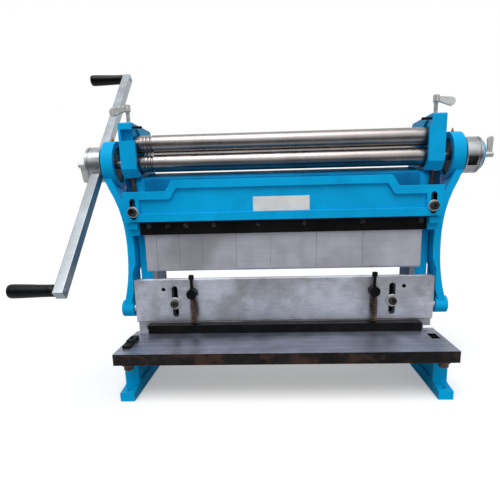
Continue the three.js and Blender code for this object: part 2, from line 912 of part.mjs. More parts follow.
// Hub lever: a barrel on the hub's end with a flat paddle, up on the right, down on the left
function hubLever(side) {
  const seat = hubOut + seatGap + (side > 0 ? capThick + seatGap : 0);
  const tip = side > 0 ? hubLeverReach : -hubLeverReach;
  const pin = hubOut - hubPin;
  const edge = seat + hubLeverLength - 1;
  return join(
    bar("x", hubLeverRadius, side * seat, side * (seat + hubLeverLength), 0, 0),
    bar("x", hubLeverRadius - 2, side * pin, side * (seat + 1), 0, 0),
    box(
      side * (edge - hubLeverWide),
      side * edge,
      -hubLeverThick / 2,
      hubLeverThick / 2,
      0,
      tip,
    ),
  );
}

// Crank bar: square, through the left hub, with a grip pin near each end
function crankBar() {
  const square = new THREE.BoxGeometry(barSide, barSide, 2 * barReach);
  const solids = [toSolid(square)];
  [-1, 1].forEach((end) => {
    const z = end * gripReach;
    solids.push(bar("x", gripPinRadius, -barSide / 2 - gripLength - 1, -barSide / 2 + 1, 0, z));
    solids.push(bar("x", gripPinRadius + 1.5, barSide / 2 - 1, barSide / 2 + 2, 0, z));
  });
  return join(...solids);
}

const grip = () => {
  const near = -barSide / 2 - seatGap;
  const far = near - gripLength;
  return cut(
    turned([
      [far, 0],
      [far, gripOuterRadius - 2.5],
      [far + 2.5, gripOuterRadius],
      [far + 0.35 * gripLength, gripOuterRadius - 0.6],
      [far + 0.75 * gripLength, gripInnerRadius + 0.4],
      [near - 8, gripInnerRadius],
      [near - 2, gripInnerRadius + 1],
      [near, gripInnerRadius],
      [near, 0],
    ]),
    bar("x", gripPinRadius + seatGap, far - 1, near + 1, 0, 0),
  );
};

// Ram plate with its vee, slots, holes and the trunnions that the links hang on
function ramPlate() {
  const veeY = ramFront + veeFromFront;
  const vee = [
    [veeY - veeDepth, ramTop + 1],
    [veeY - veeDepth, ramTop],
    [veeY, ramTop - veeDepth],
    [veeY + veeDepth, ramTop],
    [veeY + veeDepth, ramTop + 1],
  ];
  const tools = [plateX(vee, -ramHalf - 1, ramHalf + 1)];
  sides.forEach(([, side]) => {
    tools.push(
      slotY(side * slotX, slotWidth, slotScrewZ - slotDrop, slotScrewZ + slotRise, ramFront - 1, ramBack + 1),
      bar("y", dowelRadius, ramFront - 1, ramFront + 10, side * dowelX, ramTop - 22),
      bar("y", 4 + seatGap, ramFront - 1, ramFront + 14, side * holdDownX, guideZ),
    );
  });
  const pins = sides.map(([, side]) =>
    bar("x", trunnionRadius, side * (ramHalf - 1), side * (ramHalf + 28), ramMidY, trunnionZ, drumSides),
  );
  return join(
    cut(box(-ramHalf, ramHalf, ramFront, ramBack, ramLow, ramTop), ...tools),
    ...pins,
  );
}

// Upper blade, raked from its low left end up to the right
function upperBlade() {
  const top = ramLow - seatGap;
  const outline = [
    [-ramHalf + 4, upperBladeLow],
    [ramHalf - 4, upperBladeLow + bladeRake],
    [ramHalf - 4, top],
    [-ramHalf + 4, top],
  ];
  return plateY(outline, ramFront, ramFront + upperBladeThick);
}

// Link: a ring round the eccentric, a bowed arm and a boss on the ram's trunnion
function link(side) {
  const steps = 14;
  const top = lowerRollZ - ringRadius + armIntoRing;
  const sections = Array.from({ length: steps + 1 }, (_, i) => {
    const t = i / steps;
    const z = trunnionZ + (top - trunnionZ) * t;
    const rise = (z - armWaistZ) / (top - armWaistZ);
    const fall = (armWaistZ - z) / (armWaistZ - trunnionZ);
    const bow = rise > 0 ? armTopSpread * rise ** armTopBow : armFootSpread * fall ** armFootBow;
    const outer = Math.min(armWaist + bow, ringOut - 0.5);
    const besideRam = z < ramTop + (1.2 * (top - trunnionZ)) / steps;
    const inner = besideRam ? Math.max(outer - armThick, ramHalf + 1) : outer - armThick;
    const front = ramMidY - armFrontBack + armFrontRun * t ** 2;
    const deep = armDepth + (armTopDepth - armDepth) * Math.max(rise, 0);
    const corners = [
      [inner, front, z],
      [outer, front, z],
      [outer, front + deep, z],
      [inner, front + deep, z],
    ].map(([a, b, c]) => [side * a, b, c]);
    return side > 0 ? corners : corners.reverse();
  });
  const bossIn = ramHalf + 5;
  const bossOut = ramHalf + 31;
  return cut(
    join(
      bar("x", ringRadius, side * ringIn, side * ringOut, ringY, lowerRollZ, drumSides),
      lofted(sections),
      bar("x", footBossRadius, side * bossIn, side * bossOut, ramMidY, trunnionZ, drumSides),
    ),
    bar("x", ringBore, side * (ringIn - 20), side * (ringOut + 1), ringY, lowerRollZ, drumSides),
    bar("x", trunnionRadius + seatGap, side * (bossIn - 1), side * (ramHalf + 29), ramMidY, trunnionZ),
    bar(
      "z",
      nippleRadius - 1 + seatGap,
      lowerRollZ + ringRadius - 6,
      lowerRollZ + ringRadius + 1,
      (side * (ringIn + ringOut)) / 2,
      ringY,
      16,
    ),
  );
}

function nipple(side) {
  const x = (side * (ringIn + ringOut)) / 2;
  const seat = lowerRollZ + ringRadius + seatGap;
  return join(
    bar("z", nippleRadius - 1, seat - 5, seat + 1, x, ringY, 16),
    bar("z", nippleRadius, seat, seat + 3, x, ringY, 6),
    bar("z", nippleRadius - 1.4, seat + 2.5, seat + nippleHeight, x, ringY, 16),
  );
}

// Rod guide: a round boss on the ram's face, cross-drilled for the rod
const rodGuide = (side) =>
  cut(
    join(
      bar("y", guideRadius, holdDownFront + 1, ramFront - seatGap, side * holdDownX, guideZ),
      bar("y", 4, ramFront - 1, ramFront + 12, side * holdDownX, guideZ),
    ),
    bar("z", rodRadius + runGap, guideZ - 20, guideZ + 20, side * holdDownX, rodY),
  );

// Hold-down bar with a rod at each end of its middle run
const holdDownBar = () =>
  cut(
    box(-halfWork - 2, halfWork + 2, holdDownFront, holdDownBack, holdDownLow, holdDownTop),
    box(-halfWork - 3, -halfWork, holdDownFront - 1, holdDownBack + 1, holdDownLow - 1, holdDownLow + 11),
    ...sides.map(([, side]) =>
      bar("z", rodRadius + seatGap, holdDownTop - 13, holdDownTop + 1, side * holdDownX, rodY),
    ),
  );

const holdDownRod = (side) => {
  const top = ramTop + rodHeadRise;
  return join(
    bar("z", rodRadius, holdDownTop - 12, top - 2, side * holdDownX, rodY),
    bar("z", rodHeadRadius, top - rodHeadHeight, top, side * holdDownX, rodY),
  );
};

// Spring: one unbroken tube on a helix, whose ends run on straight by one wire
function springPath() {
  const low = holdDownTop + seatGap + springWire / 2;
  const high = guideZ - guideRadius - 1.2 - springWire / 2;
  const stepsPerTurn = 8;
  const steps = springTurns * stepsPerTurn;
  const pitch = (high - low) / springTurns;
  const at = (turn) => {
    const angle = 2 * Math.PI * turn;
    return new THREE.Vector3(
      springRadius * Math.cos(angle),
      springRadius * Math.sin(angle),
      low + pitch * turn,
    );
  };
  const along = (turn) => {
    const angle = 2 * Math.PI * turn;
    const speed = 2 * Math.PI * springRadius;
    return new THREE.Vector3(-speed * Math.sin(angle), speed * Math.cos(angle), pitch).normalize();
  };
  const rows = Array.from({ length: steps + 1 }, (_, i) => {
    const turn = i / stepsPerTurn;
    return { place: at(turn), run: along(turn), turn };
  });
  const first = rows[0];
  const last = rows[steps];
  const before = { ...first, place: first.place.clone().addScaledVector(first.run, -springWire) };
  const after = { ...last, place: last.place.clone().addScaledVector(last.run, springWire) };
  return [before, ...rows, after];
}

function spring(side) {
  const rim = 5;
  const sections = springPath().map(({ place, run, turn }) => {
    const out = new THREE.Vector3(Math.cos(2 * Math.PI * turn), Math.sin(2 * Math.PI * turn), 0);
    const up = new THREE.Vector3().crossVectors(out, run);
    return Array.from({ length: rim }, (_, k) => {
      const angle = (-2 * Math.PI * k) / rim;
      const spot = place
        .clone()
        .addScaledVector(out, (springWire / 2) * Math.cos(angle))
        .addScaledVector(up, (springWire / 2) * Math.sin(angle));
      return [spot.x + side * holdDownX, spot.y + rodY, spot.z];
    });
  });
  return lofted(sections);
}

function springSelfGap() {
  const rows = springPath();
  let least = Infinity;
  rows.forEach((a, i) => {
    rows.slice(i + 5).forEach((b) => {
      least = Math.min(least, a.place.distanceTo(b.place) - springWire);
    });
  });
  return least;
}

// Lock lever: a stem in the housing's top with a flat drooping tab that points outwards
function lockLever(side) {
  const seat = housingTop + lockStemHeight;
  const droop = THREE.MathUtils.degToRad(lockPaddleDroop);
  const along = [Math.cos(droop), -Math.sin(droop)];
  const root = [lockX, seat + lockKnuckle / 2];
  const tip = [root[0] + lockPaddle * along[0], root[1] + lockPaddle * along[1]];
  const beside = ([x, z], half) => [side * (x - along[1] * half), z + along[0] * half];
  const tab = [
    beside(root, lockPaddleRoot),
    beside(root, -lockPaddleRoot),
    beside(tip, -lockPaddleTip),
    beside(tip, lockPaddleTip),
  ];
  const from = lockY - lockPaddleThick / 2;
  return join(
    bar("z", lockStemRadius, housingTop - 8, seat + 2, side * lockX, lockY),
    bar("z", lockStemRadius + 2.4, seat, seat + lockKnuckle, side * lockX, lockY),
    plateY(side > 0 ? tab : tab.reverse(), from, from + lockPaddleThick),
    bar("y", lockPaddleTip, from, from + lockPaddleThick, side * tip[0], tip[1]),
  );
}

const latchPin = (side) =>
  bar(
    "x",
    latchRadius,
    side * (housingIn + housingStep - latchReach),
    side * (housingIn + housingStep + latchSeat),
    latchY,
    notchTop + 4.5,
    20,
  );

// Adjusting screw under the housing: a shank with a collar and a hexagonal foot
function adjuster(side) {
  const low = housingLow - adjusterReach;
  const high = housingLow + adjusterSeat;
  return join(
    bar("z", adjusterRadius, low, high, side * adjusterX, adjusterY),
    bar("z", adjusterRadius + 1.2, low - 3, low + 4, side * adjusterX, adjusterY, 6),
  );
}

// Assembly: pieces that stand still
add(machine, "table", table(), castIron);
add(machine, "lower_blade", lowerBlade(), groundSteel);
add(machine, "upper_beam", upperBeam(), bluePaint);
add(machine, "back_plate", backPlate(), bluePaint);
add(machine, "apron", apron(), bluePaint);
add(machine, "blank_plate", namePlate(), machinedIron);
add(machine, "finger_clamp_bar", clampBar(), blackOxide);
fingerWidths.forEach((_, i) => add(machine, `finger_${i + 1}`, finger(i), groundSteel));
add(machine, "side_stop", sideStop(), blackOxide);
sides.forEach(([name, side]) => {
  add(machine, `${name}_side_frame`, sideFrame(side), bluePaint);
  add(machine, `${name}_roll_housing`, housing(side), bluePaint);
  add(machine, `${name}_apron_bolt`, apronBolt(side), zinc);
  add(machine, `${name}_slot_screw`, slotScrew(side), blackOxide);
  add(machine, `${name}_table_bolt`, tableBolt(side), rustySteel);
  add(machine, `${name}_lock_lever`, lockLever(side), zinc);
  add(machine, `${name}_latch_pin`, latchPin(side), blackOxide);
  add(machine, `${name}_adjusting_screw`, adjuster(side), rustySteel);
});

// Assembly: the drive shaft and what turns with it
const pocketFloor = housingOut - gearPocket;
const driveRoll = roll({
  half: frontRollHalf,
  leftEnd: shaftEnd,
  leftNeck: housingOut + 4,
  rightNeck: pocketFloor + 0.7,
  rightEnd: shaftEnd,
  grooved: true,
});
add(crankGroup, "drive_roll", driveRoll, polishedSteel);
add(crankGroup, "drive_gear", gear(false), castIron);
sides.forEach(([name, side]) => {
  add(crankGroup, `${name}_eccentric`, eccentric(side), machinedIron);
  add(crankGroup, `${name}_hub`, hub(side), machinedIron);
  add(crankGroup, `${name}_hub_lever`, hubLever(side), zinc);
});
add(crankGroup, "right_hub_cap", hubCap(), bluePaint);
const barGroup = new THREE.Group();
barGroup.position.set(-barX, 0, 0);
barGroup.rotation.set(THREE.MathUtils.degToRad(-barLean), 0, 0);
crankGroup.add(barGroup);
add(barGroup, "crank_bar", crankBar(), zinc);
[
  ["lower_grip", -1],
  ["upper_grip", 1],
].forEach(([name, end]) => {
  add(barGroup, name, grip(), blackPlastic).position.set(0, 0, end * gripReach);
});

// Assembly: the other rolls, the ram and the hold-down
const journalEnd = housingOut - 2;
const upperRoll = roll({
  half: frontRollHalf,
  leftEnd: journalEnd,
  rightNeck: pocketFloor + 0.7,
  rightEnd: pocketFloor + gearThick + 1,
  grooved: true,
});
const rearRoll = roll({
  half: rearRollHalf,
  leftEnd: journalEnd,
  rightNeck: journalEnd,
  rightEnd: journalEnd,
});
add(upperRollGroup, "upper_roll", upperRoll, polishedSteel);
add(upperRollGroup, "driven_gear", gear(true), castIron);
add(rearRollGroup, "rear_roll", rearRoll, polishedSteel);
add(ramGroup, "ram_plate", ramPlate(), groundSteel);
add(ramGroup, "upper_blade", upperBlade(), groundSteel);
add(holdDownGroup, "hold_down_bar", holdDownBar(), blackOxide);
sides.forEach(([name, side]) => {
  add(ramGroup, `${name}_link`, link(side), bluePaint);
  add(ramGroup, `${name}_grease_nipple`, nipple(side), brass);
  add(ramGroup, `${name}_rod_guide`, rodGuide(side), blackOxide);
  add(holdDownGroup, `${name}_rod`, holdDownRod(side), zinc);
  add(holdDownGroup, `${name}_spring`, spring(side), zinc);
});

// The part's frame has its origin under the middle of the whole machine
const part = new THREE.Group();
part.add(machine);
const extent = new THREE.Box3().setFromObject(part, true);
const middle = extent.getCenter(new THREE.Vector3());
machine.position.set(-middle.x, -middle.y, -extent.min.z);

console.log(`spring's least gap to itself: ${springSelfGap().toFixed(2)} mm`);
console.log(`frame shift: ${machine.position.toArray().map((v) => v.toFixed(3)).join(", ")}`);

export default part;
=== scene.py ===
"""A bench machine that shears, folds and rolls sheet metal: its looks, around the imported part.

Metres. X runs along the rolls, Y from front to back and Z up from the bench.
"""

import json
import logging
import math
from contextlib import contextmanager
from dataclasses import dataclass, replace
from enum import Enum
from typing import Callable, Iterable, Iterator, Sequence

import bmesh
import bpy
from mathutils import Matrix, Vector


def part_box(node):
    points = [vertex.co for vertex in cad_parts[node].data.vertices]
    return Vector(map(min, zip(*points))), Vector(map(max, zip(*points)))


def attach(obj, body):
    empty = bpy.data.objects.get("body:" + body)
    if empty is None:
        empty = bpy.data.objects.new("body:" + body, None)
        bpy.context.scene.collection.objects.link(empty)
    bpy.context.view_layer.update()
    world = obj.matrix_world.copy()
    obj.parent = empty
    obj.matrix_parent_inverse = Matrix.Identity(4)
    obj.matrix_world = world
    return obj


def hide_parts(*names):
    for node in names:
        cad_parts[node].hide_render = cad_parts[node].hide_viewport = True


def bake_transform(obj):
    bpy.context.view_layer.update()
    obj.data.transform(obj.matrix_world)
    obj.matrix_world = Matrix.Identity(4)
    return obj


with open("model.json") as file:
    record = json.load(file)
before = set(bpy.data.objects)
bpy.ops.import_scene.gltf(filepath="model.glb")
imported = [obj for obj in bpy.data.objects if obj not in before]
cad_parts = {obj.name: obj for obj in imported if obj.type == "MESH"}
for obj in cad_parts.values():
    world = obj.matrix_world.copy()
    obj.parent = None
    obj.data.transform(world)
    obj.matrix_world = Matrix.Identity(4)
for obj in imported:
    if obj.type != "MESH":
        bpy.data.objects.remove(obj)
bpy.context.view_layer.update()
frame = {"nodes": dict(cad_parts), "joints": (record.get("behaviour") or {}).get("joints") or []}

LOG = logging.getLogger("machine")
Colour = tuple[float, float, float]
Piece = bpy.types.Object
Node = bpy.types.Node
Socket = bpy.types.NodeSocket
Tree = bpy.types.NodeTree
Profile = Sequence[tuple[float, float]]

FLAT = math.radians(0.6)  # faces that lie this near to one plane are merged
WELD = 0.000005  # corners this near to each other are one
SEAT_GAP = 0.0003  # from a solid's face to what sits on it


class Axis(Enum):
    """The direction that a turned piece runs in."""

    X = 0
    Y = 1
    Z = 2

    @property
    def run(self) -> Vector:
        """The unit vector along the axis."""
        return Vector([1.0 if i == self.value else 0.0 for i in range(3)])

    @property
    def turn(self) -> tuple[float, float, float]:
        """The rotation that stands a flat disc square to the axis."""
        quarter = math.pi / 2
        return {0: (0.0, quarter, 0.0), 1: (quarter, 0.0, 0.0), 2: (0.0, 0.0, 0.0)}[self.value]

    def squeeze(self, share: float) -> Vector:
        """A scale that leaves the axis alone and changes the two other directions."""
        return Vector([1.0 if i == self.value else share for i in range(3)])


class Side(Enum):
    """One end of the machine, as the user in front sees it."""

    LEFT = -1
    RIGHT = 1

    @property
    def label(self) -> str:
        """The word that the names of this side's pieces start with."""
        return self.name.lower()


# Modelling by hand, in small steps


def deselect() -> None:
    """Leaves nothing selected, so that an operator acts on one piece alone."""
    if bpy.context.object is not None and bpy.context.object.mode != "OBJECT":
        bpy.ops.object.mode_set(mode="OBJECT")
    for obj in bpy.context.selected_objects:
        obj.select_set(False)


def pick(piece: Piece) -> None:
    """Makes one piece the selected and active one."""
    deselect()
    piece.select_set(True)
    bpy.context.view_layer.objects.active = piece


@contextmanager
def editing(piece: Piece) -> Iterator[None]:
    """Opens a piece in edit mode with everything selected, and closes it again.

    Args:
        piece: the mesh to shape.
    """
    pick(piece)
    bpy.ops.object.mode_set(mode="EDIT")
    bpy.ops.mesh.select_mode(type="FACE")
    bpy.ops.mesh.select_all(action="SELECT")
    yield
    bpy.ops.object.mode_set(mode="OBJECT")


def placed(name: str, data: bpy.types.ID) -> Piece:
    """Puts a new object with a mesh, lamp or camera into the scene."""
    made = bpy.data.objects.new(name, data)
    bpy.context.scene.collection.objects.link(made)
    return made


def settle(piece: Piece, name: str) -> Piece:
    """Names a new piece and puts its place into its mesh.

    Args:
        piece: the object that a primitive operator made.
        name: its name.

    Returns:
        The same object, at the origin.
    """
    piece.name = name
    piece.data.name = name
    pick(piece)
    bpy.ops.object.transform_apply(location=True, rotation=True, scale=True)
    return piece


def turned(name: str, axis: Axis, origin: Vector, profile: Profile, sides: int = 48) -> Piece:
    """Turns a piece, as on a lathe: a disc is drawn out and resized step by step.

    Args:
        name: the piece's name.
        axis: the direction of the lathe's axis.
        origin: a point on the axis, from which places are counted.
        profile: pairs of place along the axis and radius there.
        sides: facets round the piece.

    Returns:
        A closed solid.
    """
    place, radius = profile[0]
    deselect()
    bpy.ops.mesh.primitive_circle_add(
        vertices=sides,
        radius=radius,
        fill_type="NGON",
        location=origin + axis.run * place,
        rotation=axis.turn,
    )
    piece = settle(bpy.context.object, name)
    with editing(piece):
        for next_place, next_radius in profile[1:]:
            bpy.ops.mesh.extrude_region_move(
                TRANSFORM_OT_translate={"value": axis.run * (next_place - place)}
            )
            if abs(next_radius - radius) > 1e-7:
                bpy.ops.transform.resize(
                    value=axis.squeeze(next_radius / radius),
                    center_override=origin + axis.run * next_place,
                )
            place, radius = next_place, next_radius
        bpy.ops.mesh.select_all(action="SELECT")
        bpy.ops.mesh.normals_make_consistent(inside=False)
    return smooth(piece)


def block(name: str, middle: Vector, size: Sequence[float], lean: float = 0.0) -> Piece:
    """A block round a point.

    Args:
        name: the piece's name.
        middle: its middle.
        size: its three sides.
        lean: degrees that its top leans to the back.

    Returns:
        The block, with sharp edges.
    """
    deselect()
    bpy.ops.mesh.primitive_cube_add(
        size=1, location=middle, rotation=(-math.radians(lean), 0, 0), scale=size
    )
    return settle(bpy.context.object, name)


def smooth(piece: Piece, angle: float = 32.0) -> Piece:
    """Shades a piece smooth wherever its faces meet at less than an angle in degrees."""
    pick(piece)
    bpy.ops.object.shade_smooth_by_angle(angle=math.radians(angle))
    return piece


def soften(piece: Piece, width: float, segments: int = 3, angle: float = 36.0) -> Piece:
    """Rounds the sharp edges of a piece.

    Args:
        piece: the piece.
        width: the radius, about.
        segments: steps round each edge.
        angle: edges sharper than this many degrees are rounded.

    Returns:
        The same piece.
    """
    pick(piece)
    bevel = piece.modifiers.new("rounding", "BEVEL")
    bevel.width = width
    bevel.segments = segments
    bevel.limit_method = "ANGLE"
    bevel.angle_limit = math.radians(angle)
    bevel.use_clamp_overlap = True
    bpy.ops.object.modifier_apply(modifier=bevel.name)
    smooth(piece)
    even = piece.modifiers.new("flat faces", "WEIGHTED_NORMAL")
    even.keep_sharp = True
    bpy.ops.object.modifier_apply(modifier=even.name)
    return piece


def refined(node: str, name: str, rounding: float, segments: int = 3) -> Piece:
    """A merged copy of a solid with its edges rounded.

    Args:
        node: the solid's name.
        name: the new piece's name.
        rounding: the radius of its edges.
        segments: steps round each edge.

    Returns:
        The new piece.
    """
    piece = placed(name, frame["nodes"][node].data.copy())
    piece.data.name = name
    piece.data.materials.clear()
    with editing(piece):
        bpy.ops.mesh.customdata_custom_splitnormals_clear()
        bpy.ops.mesh.remove_doubles(threshold=WELD)
        bpy.ops.mesh.dissolve_limited(angle_limit=FLAT)
    return soften(piece, rounding, segments)


def carved(piece: Piece, cutter: Piece) -> Piece:
    """Cuts one solid out of another and throws the cutter away."""
    pick(piece)
    cut = piece.modifiers.new("cut", "BOOLEAN")
    cut.operation = "DIFFERENCE"
    cut.solver = "EXACT"
    cut.object = cutter
    bpy.ops.object.modifier_apply(modifier=cut.name)
    bpy.data.objects.remove(cutter)
    return smooth(piece)


def joined(name: str, pieces: Sequence[Piece]) -> Piece:
    """Joins several meshes into one object.

    Args:
        name: its name.
        pieces: the meshes, the first of which stays.

    Returns:
        The joined object.
    """
    deselect()
    for piece in pieces:
        piece.select_set(True)
    bpy.context.view_layer.objects.active = pieces[0]
    bpy.ops.object.join()
    return settle(bpy.context.object, name)


def choose(piece: Piece, wanted: Callable[[Vector, Vector], bool]) -> list[int]:
    """The faces of a piece whose middle and normal pass a test."""
    return [p.index for p in piece.data.polygons if wanted(p.center, p.normal)]


def round_off(
    piece: Piece, wanted: Callable[[Vector], bool], radius: float, steps: int
) -> Piece:
    """Rounds only the edges whose two ends both pass a test.

    Args:
        piece: the piece.
        wanted: a test of a vertex's place.
        radius: how far the rounding reaches.
        steps: segments of the rounding.

    Returns:
        The same piece.
    """
    pick(piece)
    bpy.ops.object.mode_set(mode="EDIT")
    bpy.ops.mesh.select_mode(type="EDGE")
    bpy.ops.mesh.select_all(action="DESELECT")
    shape = bmesh.from_edit_mesh(piece.data)
    for edge in shape.edges:
        edge.select_set(all(wanted(v.co) for v in edge.verts))
    bmesh.update_edit_mesh(piece.data)
    bpy.ops.mesh.bevel(offset=radius, segments=steps, affect="EDGES", clamp_overlap=True)
    bpy.ops.object.mode_set(mode="OBJECT")
    return piece


def box_of(node: str) -> tuple[Vector, Vector, Vector]:
    """A solid's lowest corner, highest corner and middle."""
    low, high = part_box(node)
    return low, high, (low + high) / 2


def frame_joint(name: str) -> Vector:
    """The place of a joint's axis."""
    found = next(joint for joint in frame["joints"] if joint["name"] == name)
    return Vector(found["pos_m"])


# Shared effects: each is a node group that gives masks, tones or heights


def srgb(red: int, green: int, blue: int) -> Colour:
    """A colour from display values of 0 to 255, as the linear values that shaders use."""
    linear = [
        v / 12.92 if v <= 0.04045 else ((v + 0.055) / 1.055) ** 2.4
        for v in (red / 255, green / 255, blue / 255)
    ]
    return (linear[0], linear[1], linear[2])


class NodeBench:
    """A short way to add and wire nodes in one tree."""

    def __init__(self, tree: Tree) -> None:
        """Keeps the tree, with no nodes of its own.

        Args:
            tree: a material's, world's or group's tree.
        """
        self.tree = tree
        tree.nodes.clear()

    def add(self, kind: str, **settings: object) -> Node:
        """Adds a node and sets its properties.

        Args:
            kind: the node's type, without its ShaderNode prefix.
            **settings: properties, or a group's tree as node_tree.

        Returns:
            The node.
        """
        prefix = "" if kind.startswith("NodeGroup") else "ShaderNode"
        node = self.tree.nodes.new(prefix + kind)
        for key, value in settings.items():
            setattr(node, key, value)
        return node

    def wire(self, source: Socket, target: Socket) -> None:
        """Joins an output to an input."""
        self.tree.links.new(source, target)

    def blend(
        self, share: object, first: object, second: object, mode: str = "MIX"
    ) -> Socket:
        """Mixes two colours.

        Args:
            share: a socket or a number, 0 for the first colour and 1 for the second.
            first: a socket or a colour.
            second: a socket or a colour.
            mode: how they are mixed.

        Returns:
            The mixed colour's socket.
        """
        node = self.add("Mix", data_type="RGBA", blend_type=mode)
        for index, value in ((0, share), (6, first), (7, second)):
            if isinstance(value, Socket):
                self.wire(value, node.inputs[index])
            elif isinstance(value, tuple):
                node.inputs[index].default_value = (*value, 1.0)
            else:
                node.inputs[index].default_value = value
        return node.outputs[2]

    def number(self, operation: str, first: object, second: object = 0.0) -> Socket:
        """Does arithmetic on two sockets or numbers and returns the result's socket."""
        node = self.add("Math", operation=operation)
        for index, value in enumerate((first, second)):
            if isinstance(value, Socket):
                self.wire(value, node.inputs[index])
            else:
                node.inputs[index].default_value = value
        return node.outputs[0]

    def spread(
        self, value: Socket, start: float, end: float, low: float, high: float
    ) -> Socket:
        """Maps a value from start..end to low..high, smoothly, and returns its socket."""
        node = self.add("MapRange", interpolation_type="SMOOTHSTEP")
        self.wire(value, node.inputs["Value"])
        ends = {"From Min": start, "From Max": end, "To Min": low, "To Max": high}
        for key, number in ends.items():
            node.inputs[key].default_value = number
        return node.outputs["Result"]

    def noise(
        self, vector: Socket, scale: object, detail: float
    ) -> Socket:
        """Adds a noise.

        Args:
            vector: the socket that it reads its place from.
            scale: a socket or a number.
            detail: its detail.

        Returns:
            The socket of its value.
        """
        node = self.add("TexNoise")
        self.wire(vector, node.inputs["Vector"])
        if isinstance(scale, Socket):
            self.wire(scale, node.inputs["Scale"])
        else:
            node.inputs["Scale"].default_value = scale
        node.inputs["Detail"].default_value = detail
        return node.outputs["Fac"]

    def two_noises(
        self, entry: Node, detail: float, finer: float, share: float
    ) -> Socket:
        """Adds up a broad noise and a finer one.

        Args:
            entry: a group's input, with Vector and Scale.
            detail: the broad noise's detail.
            finer: how many times finer the second noise is.
            share: the broad noise's share of the sum.

        Returns:
            The sum's socket.
        """
        vector, scale = entry.outputs["Vector"], entry.outputs["Scale"]
        broad = self.noise(vector, scale, detail)
        fine = self.noise(vector, self.number("MULTIPLY", scale, finer), 2.0)
        return self.number(
            "ADD",
            self.number("MULTIPLY", broad, share),
            self.number("MULTIPLY", fine, 1.0 - share),
        )


def effect(
    name: str,
    inputs: dict[str, float],
    outputs: Sequence[str],
    fill: Callable[[NodeBench, Node, Node], None],
) -> Tree:
    """Makes a node group once and finds it again later.

    Args:
        name: the group's name.
        inputs: its number inputs and their values; it also gets a Vector input.
        outputs: its number outputs.
        fill: wires the nodes between the group's input and output.

    Returns:
        The group.
    """
    if name in bpy.data.node_groups:
        return bpy.data.node_groups[name]
    group = bpy.data.node_groups.new(name, "ShaderNodeTree")
    group.interface.new_socket("Vector", in_out="INPUT", socket_type="NodeSocketVector")
    for label, value in inputs.items():
        socket = group.interface.new_socket(label, in_out="INPUT", socket_type="NodeSocketFloat")
        socket.default_value = value
    for label in outputs:
        group.interface.new_socket(label, in_out="OUTPUT", socket_type="NodeSocketFloat")
    bench = NodeBench(group)
    fill(bench, bench.add("NodeGroupInput"), bench.add("NodeGroupOutput"))
    return group


def mottle() -> Tree:
    """Soft clouds of tone, as on rolled, handled or oiled metal."""

    def fill(bench: NodeBench, entry: Node, exit_: Node) -> None:
        """Wires two sizes of noise into one mask."""
        both = bench.two_noises(entry, detail=4.0, finer=5.3, share=0.7)
        bench.wire(bench.spread(both, 0.36, 0.64, 0.0, 1.0), exit_.inputs["Mask"])

    return effect("mottle", {"Scale": 12.0}, ["Mask"], fill)


def grain() -> Tree:
    """Fine lines left by grinding or turning, along whichever way its vector is stretched."""

    def fill(bench: NodeBench, entry: Node, exit_: Node) -> None:
        """Wires a tone and a height from one noise and a finer one."""
        both = bench.two_noises(entry, detail=2.0, finer=3.7, share=0.55)
        bench.wire(bench.spread(both, 0.34, 0.66, 0.0, 1.0), exit_.inputs["Tone"])
        bench.wire(both, exit_.inputs["Height"])

    return effect("grain", {"Scale": 300.0}, ["Tone", "Height"], fill)


def skin() -> Tree:
    """The lumps of a casting under the fine orange peel of paint or scale."""

    def fill(bench: NodeBench, entry: Node, exit_: Node) -> None:
        """Wires lumps and peel into one height."""
        lumps = bench.noise(entry.outputs["Vector"], entry.outputs["Lumps"], 3.0)
        peel = bench.noise(entry.outputs["Vector"], entry.outputs["Peel"], 1.0)
        height = bench.number("ADD", lumps, bench.number("MULTIPLY", peel, 0.35))
        bench.wire(height, exit_.inputs["Height"])

    return effect("skin", {"Lumps": 60.0, "Peel": 420.0}, ["Height"], fill)


def oil_patch() -> Tree:
    """A ragged dark patch at one place on a front face, used for oil and for painted shadows."""

    def fill(bench: NodeBench, entry: Node, exit_: Node) -> None:
        """Wires the reach of an ellipse, broken up by a noise."""
        spot = bench.add("SeparateXYZ")
        bench.wire(entry.outputs["Vector"], spot.inputs["Vector"])
        reach = []
        for along, middle, half in (("X", "X", "Wide"), ("Z", "Z", "Tall")):
            away = bench.number("SUBTRACT", spot.outputs[along], entry.outputs[middle])
            share = bench.number("DIVIDE", away, entry.outputs[half])
            reach.append(bench.number("MULTIPLY", share, share))
        noise = bench.noise(entry.outputs["Vector"], 160.0, 3.0)
        ragged = bench.number("ADD", bench.number("ADD", *reach), noise)
        bench.wire(bench.spread(ragged, 0.7, 1.6, 0.75, 0.0), exit_.inputs["Mask"])

    return effect("oil_patch", {"X": 0.0, "Z": 0.0, "Wide": 0.01, "Tall": 0.01}, ["Mask"], fill)


def edge_wear() -> Tree:
    """A broken mask along rubbed edges: where a rounded normal leaves the flat one."""

    def fill(bench: NodeBench, entry: Node, exit_: Node) -> None:
        """Wires the edge test and the noise that breaks it up."""
        rounded = bench.add("Bevel", samples=4)
        flat = bench.add("NewGeometry")
        bench.wire(entry.outputs["Radius"], rounded.inputs["Radius"])
        match = bench.add("VectorMath", operation="DOT_PRODUCT")
        bench.wire(rounded.outputs["Normal"], match.inputs[0])
        bench.wire(flat.outputs["Normal"], match.inputs[1])
        edge = bench.spread(match.outputs["Value"], 0.80, 0.995, 1.0, 0.0)
        noise = bench.noise(entry.outputs["Vector"], entry.outputs["Scale"], 4.0)
        broken = bench.spread(noise, 0.42, 0.62, 0.0, 1.0)
        worn = bench.number("MULTIPLY", edge, broken)
        worn = bench.number("MULTIPLY", worn, entry.outputs["Amount"])
        bench.wire(worn, exit_.inputs["Mask"])

    return effect("edge_wear", {"Radius": 0.002, "Scale": 90.0, "Amount": 0.5}, ["Mask"], fill)


# Finishes


